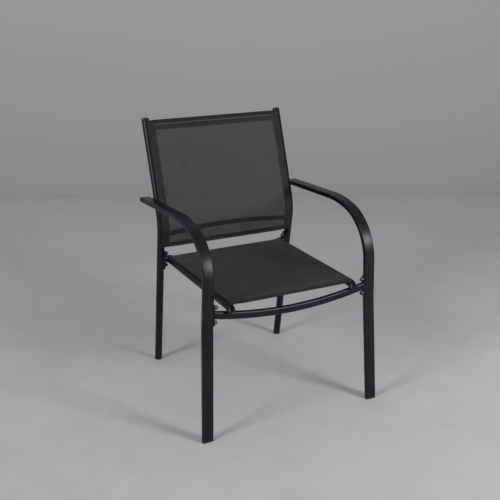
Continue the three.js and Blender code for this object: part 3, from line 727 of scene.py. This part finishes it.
def cloth_material():
    """Open plain weave of coated yarns, with real holes, in the cloth's own flat coordinates."""
    nodes = new_material("charcoal_sling_mesh")
    flat = nodes.split(nodes.node("UVMap", {}, uv_map="cloth")[0])
    warp = yarns(nodes, flat[0], flat[1], WARP_SPREAD_SHARE)
    weft = yarns(nodes, flat[1], flat[0], WEFT_SPREAD_SHARE)
    heights = []
    for (_, index, yarn, crown), (count, *_), lift in ((warp, weft, 0.4), (weft, warp, -0.4)):
        phase = nodes.math("MULTIPLY", nodes.math("ADD", nodes.math("SUBTRACT", count, 0.5), index), pi)
        wave = nodes.math("MULTIPLY", nodes.math("COSINE", phase), lift)
        heights.append(nodes.math("MULTIPLY", yarn, nodes.math("ADD", crown, wave)))
    stripes = nodes.node("TexWhiteNoise", {"W": warp[1]}, noise_dimensions="1D")["Value"]
    streak = nodes.math("MULTIPLY", nodes.stretch(stripes, 0, 1, 0.35, 0.65), 0.6)
    tone = nodes.math("ADD", streak, nodes.math("MULTIPLY", nodes.noise(9, 4), 0.4))
    return nodes.finish(
        Base_Color=nodes.greys(tone, 0.012, 0.021, CLOTH_TINT),
        Roughness=nodes.vary(nodes.noise(30, 3), 0.5, 0.62),
        Specular_IOR_Level=0.25,
        Sheen_Weight=0.07,
        Sheen_Roughness=0.4,
        Alpha=nodes.math("MAXIMUM", warp[2], weft[2]),
        Normal=nodes.bump(nodes.math("MAXIMUM", *heights), 0.18 * MM, 0.7),
    )


def thread_material(name, dark, light):
    """Bonded polyester sewing thread, twisted."""
    nodes = new_material(name)
    wave = nodes.node("TexWave", {"Scale": 900, "Vector": nodes.coordinates()})["Fac"]
    return nodes.finish(
        Base_Color=nodes.greys(nodes.noise(260, 3), dark, light),
        Roughness=0.5,
        Normal=nodes.bump(wave, 0.05 * MM, 0.6),
    )


def floor_material():
    """Pale concrete, mottled in large and small patches."""
    nodes = new_material("studio_floor")
    patch = nodes.math("MULTIPLY", nodes.vary(nodes.noise(1.6, 5, 0.6), 0, 1), 0.5)
    mottle = nodes.math("MULTIPLY", nodes.vary(nodes.noise(9, 6, 0.62), 0, 1), 0.5)
    return nodes.finish(
        Base_Color=nodes.greys(nodes.math("ADD", patch, mottle), 0.48, 0.55, FLOOR_TINT),
        Roughness=0.6,
        Specular_IOR_Level=0.25,
    )


def wall_material():
    """Matt painted wall, a little lighter toward its top: painted light, as the paint itself is even."""
    nodes = new_material("studio_wall")
    rise = nodes.split(nodes.coordinates())[2]
    cloud = nodes.math("MULTIPLY", nodes.noise(0.9, 3), 0.4)
    # Painted light: the colour grows lighter with height, broken up by soft clouds
    share = nodes.stretch(nodes.math("ADD", rise, cloud), 0.2, 1.4)
    return nodes.finish(
        Base_Color=nodes.greys(share, 0.388, 0.46, WALL_TINT),
        Roughness=0.9,
        Specular_IOR_Level=0.1,
    )


steel = powder_coat_material()
plastic = plastic_material()
fastener = fastener_material()
cloth = cloth_material()
black_thread = thread_material("black_sewing_thread", 0.012, 0.03)
# Light grey thread: real stitching whose light tone also paints a highlight line along the top bar
grey_thread_painted_highlight = thread_material("grey_thread_and_painted_highlight", 0.17, 0.28)


# Arm frames and posts, with their feet, plugs and caps
def foot_cap(end, word, section, route, matrix):
    rings = route_rings(section, route, (-FOOT_LIP, FOOT_LIP), matrix)
    foot = add_tube(f"{end}_foot_cap_{word}", rings, plastic)
    trim(foot, Vector(), -AXIS_Z)
    bevel(foot, FOOT_BEVEL, 3)
    place_piece(foot, "black_plastic", f"{end}_foot_{word}")


def arm_pieces(side, word):
    matrix = arm_matrix(side)
    section = rounded_section(ARM_WIDTH, ARM_DEPTH, ARM_CORNER)
    end = arm_route.length
    marks = arm_route.marks(FOOT_LIP + FIT_GAP, end, LONGEST_STEP)
    tube = add_tube(f"arm_and_front_leg_{word}", route_rings(section, arm_route, marks, matrix), steel)
    bevel(tube, TUBE_BEVEL)
    place_piece(tube, "black_frame", f"arm_leg_{word}")
    foot_cap("front", word, section, arm_route, matrix)

    rings = []
    for rise, inset in PLUG_RINGS:
        lip = rounded_section(ARM_WIDTH - 2 * inset, ARM_DEPTH - 2 * inset, ARM_CORNER - inset / 2)
        rings += route_rings(lip, arm_route, (end + rise,), matrix)
    plug = add_tube(f"arm_end_cap_{word}", rings, plastic)
    place_piece(plug, "black_plastic", f"arm_end_plug_{word}")


def slit_tube(name, route, marks, slit_start, matrix):
    """A round tube, open at both ends, with a slit along its outer line from a mark to its end."""
    half = asin(SLIT_WIDTH / 2 / TUBE_RADIUS)
    start, turn = pi / 2 + half, 2 * (pi - half)
    outside = arc(TUBE_RADIUS, start, turn, ROUND_SIDES)
    section = outside + arc(BORE_RADIUS, start, turn, ROUND_SIDES)
    count = len(outside)
    verts = [point for ring in route_rings(section, route, marks, matrix) for point in ring]
    starts = range(0, len(verts), len(section))
    closed = [mark < slit_start - FIT_GAP for mark in marks]
    faces = []
    for row, (here, there) in enumerate(zip(starts, starts[1:])):
        faces += band(here, there, count, closed[row])
        faces += band(there + count, here + count, count, closed[row])
        if not closed[row]:
            for i in (0, count - 1):
                faces.append((here + i, there + i, there + count + i, here + count + i))
        elif not closed[row + 1]:
            faces.append((there, there + count - 1, there + 2 * count - 1, there + count))
    for row in (0, -1):
        faces += band(starts[row], starts[row] + count, count, closed[row])
    return add_object(name, verts, faces, steel)


def post_pieces(side, word):
    matrix = post_matrix(side)
    end = post_route.length
    slit_start = back_sling_mark - FIT_GAP
    marks = post_route.marks(FOOT_LIP + FIT_GAP, end, LONGEST_STEP)
    marks = sorted([m for m in marks if abs(m - slit_start) > FIT_GAP] + [slit_start])
    tube = slit_tube(f"rear_leg_and_post_{word}", post_route, marks, slit_start, matrix)
    place_piece(tube, "black_frame", f"back_post_{word}")
    foot_cap("rear", word, circle_section(TUBE_RADIUS), post_route, matrix)

    profile = [
        (0, -PLUG_STEM),
        (BORE_RADIUS - FIT_GAP, -PLUG_STEM),
        (BORE_RADIUS - FIT_GAP, FIT_GAP),
        (TUBE_RADIUS - CAP_CHAMFER, FIT_GAP),
        (TUBE_RADIUS, 2 * FIT_GAP),
    ]
    profile += dome_profile(TUBE_RADIUS, CAP_EDGE, CAP_HEIGHT)
    point, tangent, _ = post_route.at(end)
    cap = lathe(f"post_top_cap_{word}", profile, matrix @ point, tangent, plastic, ROUND_SIDES)
    place_piece(cap, "black_plastic", f"post_cap_{word}")


# Seat frame: bars, rails, brackets
def bar(name, section, frames):
    return add_tube(name, [ring_at(section, *f) for f in frames], steel)


def front_bar(name, grow=0):
    return bar(name, oval_section(FRONT_BAR_DEPTH, FRONT_BAR_HEIGHT, grow), front_bow.frames(front_bar_place))


def rear_bar(name, grow=0):
    return bar(name, circle_section(TUBE_RADIUS + grow), rear_bow.frames(rear_bar_place))


def seat_bars():
    front, rear = front_bar("seat_front_tube"), rear_bar("seat_rear_tube")
    for side, _ in SIDES:
        matrix = arm_matrix(side)
        outward = AXIS_X * side
        face = front_bracket_place - outward * (bracket_inner_face + FIT_GAP)
        trim(front, matrix @ face, matrix.to_3x3() @ outward)
        trim(rear, outward * rear_bar_half, outward)
    place_piece(front, "black_frame", "seat_front_bar")
    place_piece(rear, "black_frame", "seat_rear_bar")
    return front, rear


def seat_rail(side, word, front, rear):
    matrix = rail_matrix(side)
    end = rail_route.length
    rail = slit_tube(f"seat_side_rail_{word}", rail_route, rail_route.marks(0, end, LONGEST_STEP), 0, matrix)
    carve(rail, [front_bar("cutter", CUT_OVERLAP), rear_bar("cutter", CUT_OVERLAP)])
    place_piece(rail, "black_frame", f"seat_rail_{word}")
    nose_marks = rail_route.marks(0, RAIL_NOSE_RADIUS * RAIL_NOSE_TURN + 2 * TUBE_RADIUS)
    joints = (("front", nose_marks[::-1], front), ("rear", [end - 4 * TUBE_RADIUS, end], rear))
    for level, marks, target in joints:
        rings = route_rings(circle_section(TUBE_RADIUS), rail_route, marks, matrix)
        place_piece(weld(f"rail_weld_{level}_{word}", list(zip(*rings)), target), "black_frame")


def front_bracket(side, word):
    """A flat plate on the inner side of the leg."""
    start = -bracket_inner_face if side > 0 else bracket_inner_face - BRACKET_THICKNESS
    place = Matrix.Translation(front_bracket_place + AXIS_X * start)
    base = arm_matrix(side) @ place @ tilt(front_bracket_along)
    outline = rounded_section(BRACKET_WIDTH, BRACKET_HEIGHT, BRACKET_CORNER)
    rings = [[base @ Vector((x, y, z)) for y, z in outline] for x in (0, BRACKET_THICKNESS)]
    plate = add_tube(f"front_bracket_plate_{word}", rings, steel)
    bevel(plate, PLATE_BEVEL)
    place_piece(plate, "black_frame", f"front_bracket_{word}")


def rear_bracket(side, word):
    """A saddle with a flat face, hollowed to sit on the post."""
    hollow = TUBE_RADIUS + FIT_GAP
    half = asin(SADDLE_WIDTH / 2 / hollow)
    section = [(-side * saddle_face, -SADDLE_WIDTH / 2), (-side * saddle_face, SADDLE_WIDTH / 2)]
    section += [(-side * a, b) for a, b in arc(hollow, half, -2 * half, SADDLE_STEPS)]
    base = post_matrix(side) @ Matrix.Translation(rear_bracket_place) @ tilt(rear_bracket_along)
    ends = (-BRACKET_HEIGHT / 2, BRACKET_HEIGHT / 2)
    rings = [[base @ Vector((x, y, z)) for x, y in section] for z in ends]
    saddle = add_tube(f"rear_bracket_saddle_{word}", rings, steel)
    bevel(saddle, PLATE_BEVEL)
    place_piece(saddle, "black_frame", f"rear_bracket_{word}")


# Bolts with a flange and a domed cover
def bolt_piece(kind, word, seat, axis):
    profile = [
        (0, 0),
        (BOLT_FLANGE_RADIUS - BOLT_ROUND, 0),
        (BOLT_FLANGE_RADIUS, BOLT_ROUND),
        (BOLT_FLANGE_RADIUS, BOLT_FLANGE_HEIGHT - BOLT_ROUND),
        (BOLT_FLANGE_RADIUS - BOLT_ROUND, BOLT_FLANGE_HEIGHT),
        (BOLT_HEAD_RADIUS + BOLT_ROUND, BOLT_FLANGE_HEIGHT),
        (BOLT_HEAD_RADIUS, BOLT_FLANGE_HEIGHT + BOLT_ROUND),
    ]
    profile += dome_profile(BOLT_HEAD_RADIUS, BOLT_HEAD_HEIGHT - BOLT_DOME_HEIGHT, BOLT_HEAD_HEIGHT)
    head = lathe(f"{kind}_bolt_head_{word}", profile, seat, axis, fastener, BOLT_SIDES)
    place_piece(head, "black_fasteners", f"{kind}_bolt_{word}")


def bolts(side, word):
    matrix = arm_matrix(side)
    inward = AXIS_X * -side
    arm_inward = matrix.to_3x3() @ inward
    for level, offset in (("lower", -BOLT_PITCH / 2), ("upper", BOLT_PITCH / 2)):
        point = arm_route.at(front_bracket_mark + offset)[0]
        seat = matrix @ (point + inward * (bracket_inner_face + FIT_GAP))
        bolt_piece("front", f"{word}_{level}", seat, arm_inward)
        point = post_route.at(rear_bracket_mark + offset)[0]
        seat = post_matrix(side) @ (point + inward * (saddle_face + FIT_GAP))
        bolt_piece("rear", f"{word}_{level}", seat, inward)
    reach = ARM_WIDTH / 2 + ARM_SPACER_LENGTH + 2 * TUBE_RADIUS + 2 * FIT_GAP
    seat = matrix @ (arm_bolt_place + inward * reach)
    bolt_piece("arm", word, seat, arm_inward)


# Cross bars of the back, cut to the posts' round
def cross_bar(name, radius, frames, node):
    piece = bar(name, circle_section(radius), frames)
    marks = post_route.marks(0, post_route.length + CUTTER_OVERRUN)
    cutters = []
    for side, _ in SIDES:
        rings = route_rings(circle_section(TUBE_RADIUS + CUT_OVERLAP), post_route, marks, post_matrix(side))
        cutters.append(add_tube("cutter", rings, steel))
    carve(piece, cutters)
    place_piece(piece, "black_frame", node)


def back_bars():
    middle = top_bar_place + chair_shift
    frames = [(middle + AXIS_X * x, top_bar_along, top_bar_out) for x in (-POST_X, POST_X)]
    cross_bar("back_top_tube", TUBE_RADIUS, frames, "back_top_bar")
    turn = tilt(spreader_along, pi / 2).to_3x3()
    frames = Bow(POST_X, SPREADER_BOW, 0).frames(spreader_place + chair_shift, turn)
    cross_bar("back_spreader_tube", SPREADER_RADIUS, frames, "back_spreader_bow")


class Cloth:
    """A grid of points kept by column and row, so that patches that share an edge are one sheet."""

    def __init__(self):
        self.index = {}
        self.verts = []
        self.uvs = []
        self.faces = []

    def patch(self, columns, rows, place):
        """Faces between neighbouring columns and rows. Place gives (point, flat place) of a new one."""
        for c in columns:
            for r in rows:
                if (c, r) not in self.index:
                    self.index[(c, r)] = len(self.verts)
                    point, flat = place(c, r)
                    self.verts.append(point)
                    self.uvs.append(flat)
        for c, d in zip(columns, columns[1:]):
            for r, s in zip(rows, rows[1:]):
                self.faces.append(tuple(self.index[k] for k in ((c, r), (d, r), (d, s), (c, s))))

    def build(self, node):
        obj = add_object(f"{node}_cloth", self.verts, self.faces, cloth, self.uvs, sharp=pi)
        solidify = obj.modifiers.new("thickness", "SOLIDIFY")
        solidify.thickness = CLOTH_THICKNESS
        solidify.offset = 0
        solidify.use_even_offset = True
        apply_modifiers(obj)
        place_piece(obj, "sling_fabric", node)
        return obj


def slit_path():
    """Path of the cloth at a side: from the front layer into the slit, round the rod and back out
    behind. Points are (inward from the tube's axis, rise along its outer line)."""
    path = [(inward, CLOTH_MIDDLE - depth) for inward, depth in SLIT_ENTRY]
    rod_rise = BORE_RADIUS - ROD_RADIUS - FIT_GAP
    wrap = arc(WRAP_RADIUS, WRAP_START, WRAP_TURN, WRAP_STEPS)
    path += [(a * WRAP_WIDTH_SHARE, rod_rise + b) for a, b in wrap]
    return path + [(inward, CLOTH_MIDDLE - depth) for inward, depth in SLIT_EXIT]


def hem_path():
    """Path of a folded hem at an end: from its raw edge behind, round the fold, to the front layer.
    Points are (distance along from the fold's edge, rise from the front layer)."""
    inside = END_HEM_LENGTH - FOLD_RADIUS
    path = [(END_HEM_LENGTH - inside * i / HEM_STEPS, -LAYER_STEP) for i in range(HEM_STEPS)]
    fold = arc(FOLD_RADIUS, -pi / 2, -pi, FOLD_STEPS)
    return path + [(FOLD_RADIUS + a, b - FOLD_RADIUS) for a, b in fold]


def sleeve_path(drop):
    """Path of the top sleeve: round the top bar and down behind the front layer, past the seam.
    Points are (outward, along) from the bar's axis."""
    turn = 2 * pi - 2 * atan(drop / CLOTH_MIDDLE)
    path = arc(CLOTH_MIDDLE, 0, turn, SLEEVE_STEPS)
    out, along = path[-1]
    behind = CLOTH_MIDDLE - LAYER_STEP
    for i in range(1, HEM_STEPS + 1):
        share = i / HEM_STEPS
        path.append((out + (behind - out) * share, along - (drop + along) * share))
    return path + [(behind, -drop - SLEEVE_TAIL)]


def flat_lengths(path):
    """Running length along a path of points."""
    total, lengths = 0, [0]
    for (ax, ay), (bx, by) in zip(path, path[1:]):
        total += hypot(bx - ax, by - ay)
        lengths.append(total)
    return lengths


class Sling:
    """A sling between two mirrored routes. Its marks are the places of its rows along them, and its
    shares are the places of its columns across, with one at each side hem's edge."""

    def __init__(self, route, matrix_of, marks, flat_end, sag, hem_width):
        self.route, self.marks = route, marks
        self.matrices = [matrix_of(-1), matrix_of(1)]
        self.flat_end, self.sag, self.hem_width = flat_end, sag, hem_width
        self.width = self.across(marks[0])[2]
        first, hem = SLIT_ENTRY[0][0] / self.width, hem_width / self.width
        edge = [first + (hem - first) * i / HEM_STEPS for i in range(HEM_STEPS)]
        middle = [hem + (1 - 2 * hem) * i / CLOTH_COLUMNS for i in range(CLOTH_COLUMNS + 1)]
        self.shares = edge + middle + [1 - s for s in reversed(edge)]
        self.middle = range(HEM_STEPS, HEM_STEPS + CLOTH_COLUMNS + 1)
        self.sheet = Cloth()

    def across(self, mark):
        left, right = (m @ self.route.at(mark)[0] for m in self.matrices)
        return left, right, (right - left).length

    def edge_point(self, side, mark, inward, rise):
        """A point near a tube: inward toward the chair's middle, rise along its outer line."""
        point, _, outward = self.route.at(mark)
        return self.matrices[0 if side < 0 else 1] @ (point + AXIS_X * (-side * inward) + outward * rise)

    def span_point(self, share, mark, rise=CLOTH_MIDDLE):
        """A point of the span, which sags in its middle but not at its first row and its flat end."""
        left, right, _ = self.across(mark)
        outward = self.matrices[0].to_3x3() @ self.route.at(mark)[2]
        along = (mark - self.marks[0]) / (self.flat_end - self.marks[0])
        fullness = 1 - (2 * min(1, max(0, along)) - 1) ** 4
        dip = self.sag * 4 * share * (1 - share) * fullness
        return left.lerp(right, share) + outward * (rise - dip)

    def front(self, column, row):
        share, mark = self.shares[column], self.marks[row]
        return self.span_point(share, mark), ((share - 0.5) * self.across(mark)[2], mark)

    def side_hem(self, side):
        """The cloth goes on from the front layer into the slit, round its rod, and back behind."""
        path = slit_path()
        lengths = flat_lengths(path)
        edge_share = self.shares[0 if side < 0 else -1]

        def place(column, row):
            (kind, _, number), mark = column, self.marks[row]
            width = self.across(mark)[2]
            if kind == "fold":
                point = self.edge_point(side, mark, *path[number])
                if number == 0:
                    point = self.span_point(edge_share, mark)
                return point, (side * (width / 2 + lengths[number]), mark)
            first = path[-1][0]
            inward = first + (self.hem_width - first) * number / HEM_STEPS
            share = inward / width if side < 0 else 1 - inward / width
            point = self.span_point(share, mark, CLOTH_MIDDLE - LAYER_STEP)
            return point, ((share - 0.5) * width + HEM_PHASE[side], mark)

        columns = [("fold", side, i) for i in range(len(path))]
        columns += [("hem", side, i) for i in range(1, HEM_STEPS + 1)]
        self.sheet.patch(columns, range(len(self.marks)), place)

    def end_hem(self, end, edge_row):
        """The hem folded behind at an edge, which lies toward the marks' start (1) or end (-1)."""
        path = hem_path()
        edge_mark = self.marks[edge_row]
        width = self.across(edge_mark)[2]

        def place(column, row):
            share, (along, rise) = self.shares[column], path[row[1]]
            mark = edge_mark + end * along
            flat = ((share - 0.5) * width + WEAVE_PITCH / 2, mark + WEAVE_PITCH / 2)
            return self.span_point(share, mark, CLOTH_MIDDLE + rise), flat

        rows = [(end, i) for i in range(len(path) - 1)] + [edge_row]
        self.sheet.patch(self.middle, rows, place)

    def side_seam(self, side, marks):
        line = []
        for mark in marks:
            share = (self.hem_width - SIDE_SEAM_INSET) / self.across(mark)[2]
            line.append(self.span_point(share if side < 0 else 1 - share, mark))
        return line

    def end_seam(self, mark):
        return [self.span_point(self.shares[c], mark) for c in self.middle]

    def flat_width(self):
        return self.width + 2 * (flat_lengths(slit_path())[-1] + self.hem_width)


def resample(line, step):
    """Points one step apart along a line of points."""
    spots, rest = [line[0]], 0
    for a, b in zip(line, line[1:]):
        length = (b - a).length
        at = step - rest
        while at <= length:
            spots.append(a.lerp(b, at / length))
            at += step
        rest = length - (at - step)
    return spots


def stitches(name, seams, thread):
    """Rows of single thread stitches on the cloth's outer face. A seam is (line of points, outward)."""
    verts, faces = [], []
    for line, outward in seams:
        spots = resample(line, STITCH_PITCH)
        for here, after in zip(spots, spots[1:]):
            along = (after - here).normalized()
            side = along.cross(outward).normalized()
            up = side.cross(along)
            middle = (here + after) / 2 + up * (CLOTH_THICKNESS / 2 + STITCH_RADIUS * STITCH_RISE_SHARE)
            faces += tube_faces(len(verts), STITCH_SIDES, len(STITCH_SHARES))
            for place, size in STITCH_SHARES:
                section = circle_section(STITCH_RADIUS * size, STITCH_SIDES)
                verts += ring_at(section, middle + along * STITCH_LENGTH * place, side, up)
    piece = add_object(name, verts, faces, thread, sharp=pi)
    place_piece(piece, "sling_fabric")
    return piece


def back_sling():
    seam = top_bar_mark - TOP_HEM_LENGTH + CLOTH_MIDDLE
    front_marks = post_route.marks(back_sling_mark, seam, CLOTH_ROW)
    front_marks += post_route.marks(seam, top_bar_mark, CLOTH_ROW)[1:]
    marks = front_marks + [top_bar_mark + HEM_TAB_RISE / 2, top_bar_mark + HEM_TAB_RISE]
    sling = Sling(post_route, post_matrix, marks, seam, BACK_SLING_SAG, POST_X - HEM_HALF)
    sheet, middle = sling.sheet, sling.middle
    sheet.patch(middle, range(len(front_marks)), sling.front)
    for columns in (range(middle[0] + 1), range(middle[-1], len(sling.shares))):
        sheet.patch(columns, range(len(marks)), sling.front)
    for side, _ in SIDES:
        sling.side_hem(side)
    sling.end_hem(1, 0)

    sleeve = sleeve_path(top_bar_mark - seam)
    run = flat_lengths(sleeve)
    left, right, _ = sling.across(top_bar_mark)

    def sleeve_place(column, row):
        share, (out, along) = sling.shares[column], sleeve[row[1]]
        point = left.lerp(right, share) + top_bar_out * out + top_bar_along * along
        return point, ((share - 0.5) * sling.width, top_bar_mark + run[row[1]])

    rows = [len(front_marks) - 1] + [("sleeve", i) for i in range(1, len(sleeve))]
    sheet.patch(middle, rows, sleeve_place)
    obj = sheet.build("back_sling")

    # Side hems and sleeve are sewn in black, the top and bottom edges in grey. The grey rows just under the
    # top bar are light enough to also paint the bar's highlight line
    lines = [sling.side_seam(side, front_marks) for side, _ in SIDES]
    lines.append(sling.end_seam(seam + SLEEVE_SEAM_RISE))
    outward = post_route.at(seam)[2]
    side_seams = stitches("back_sling_side_stitching", [(line, outward) for line in lines], black_thread)
    top_seam = top_bar_mark - TOP_SEAM_DROP
    end_marks = (top_seam, top_seam - TWIN_SEAM_STEP, back_sling_mark + END_SEAM_RISE)
    lines = [sling.end_seam(mark) for mark in end_marks]
    end_seams = stitches("back_sling_end_stitching", [(line, outward) for line in lines], grey_thread_painted_highlight)

    # Width and length of the flat cut
    flat_width = sling.flat_width()
    front_length = top_bar_mark - back_sling_mark
    flat_length = flat_lengths(hem_path())[-1] + front_length + run[-1]


def seat_sling():
    marks = rail_route.marks(seat_sling_start, seat_sling_end, CLOTH_ROW)
    sling = Sling(rail_route, rail_matrix, marks, seat_sling_end, SEAT_SLING_SAG, SEAT_HEM_WIDTH)
    sling.sheet.patch(range(len(sling.shares)), range(len(marks)), sling.front)
    seams = []
    for end, row in ((1, 0), (-1, len(marks) - 1)):
        sling.end_hem(end, row)
        mark = marks[row] + end * END_SEAM_RISE
        seams.append((sling.end_seam(mark), rail_route.at(mark)[2]))
    for side, _ in SIDES:
        sling.side_hem(side)
        seams.append((sling.side_seam(side, marks), rail_route.at(marks[-1])[2]))
    obj = sling.sheet.build("seat_sling")
    flat_length = seat_sling_end - seat_sling_start + 2 * flat_lengths(hem_path())[-1]
    round(sling.flat_width(), 4)
    stitches("seat_sling_stitching", seams, black_thread)


# CAD nodes that stay as they are take the same finishes
def dress_kept_nodes():
    finishes = {"nut": fastener, "spacer": plastic, "rod": plastic}
    for name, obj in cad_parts.items():
        for word, material in finishes.items():
            if word in name:
                obj.data.materials.clear()
                obj.data.materials.append(material)


# Floor, backdrop and light
def board(name, base, across, up, material):
    """One flat face, with its base at the middle of its lower edge."""
    corners = [base - across, base + across, base + across + up, base - across + up]
    return add_object(name, corners, [(0, 1, 2, 3)], material)


def stage():
    reach = Vector((STAGE_REACH, 0, 0))
    depth = Vector((0, STAGE_REACH, 0))
    floor = board("floor", -depth, reach, 2 * depth, floor_material())
    turn = CAMERA_YAW + WALL_TURN
    away = Vector((sin(turn), cos(turn), 0))
    across = Vector((away.y, -away.x, 0))
    base = Vector((CAMERA_PLACE[0], CAMERA_PLACE[1], 0)) + away * WALL_DISTANCE
    wall = board("wall", base, across * STAGE_REACH, AXIS_Z * STAGE_REACH / 2, wall_material())


def sky():
    nodes = Nodes(bpy.data.worlds.new("studio"), "Background")
    height = nodes.split(nodes.coordinates("Generated"))[2]
    share = nodes.math("POWER", height, 2)
    strength = nodes.stretch(share, 0, 1, WORLD_HORIZON, WORLD_ZENITH)
    bpy.context.scene.world = nodes.finish(Color=grey(1, WALL_TINT), Strength=strength)


def lamps():
    for name, place, size, watts in LAMPS:
        data = bpy.data.lights.new(name, "AREA")
        data.size = size
        data.energy = watts
        lamp = bpy.data.objects.new(name, data)
        lamp.location = place
        lamp.rotation_euler = (Vector(LAMP_AIM) - lamp.location).to_track_quat("-Z", "Y").to_euler()
        bpy.context.scene.collection.objects.link(lamp)


make_camera()
for side, word in SIDES:
    arm_pieces(side, word)
    post_pieces(side, word)
    front_bracket(side, word)
    rear_bracket(side, word)
    bolts(side, word)
seat_tubes = seat_bars()
for side, word in SIDES:
    seat_rail(side, word, *seat_tubes)
back_bars()
back_sling()
seat_sling()
dress_kept_nodes()
stage()
sky()
lamps()

bpy.context.scene.view_settings.view_transform = "Standard"
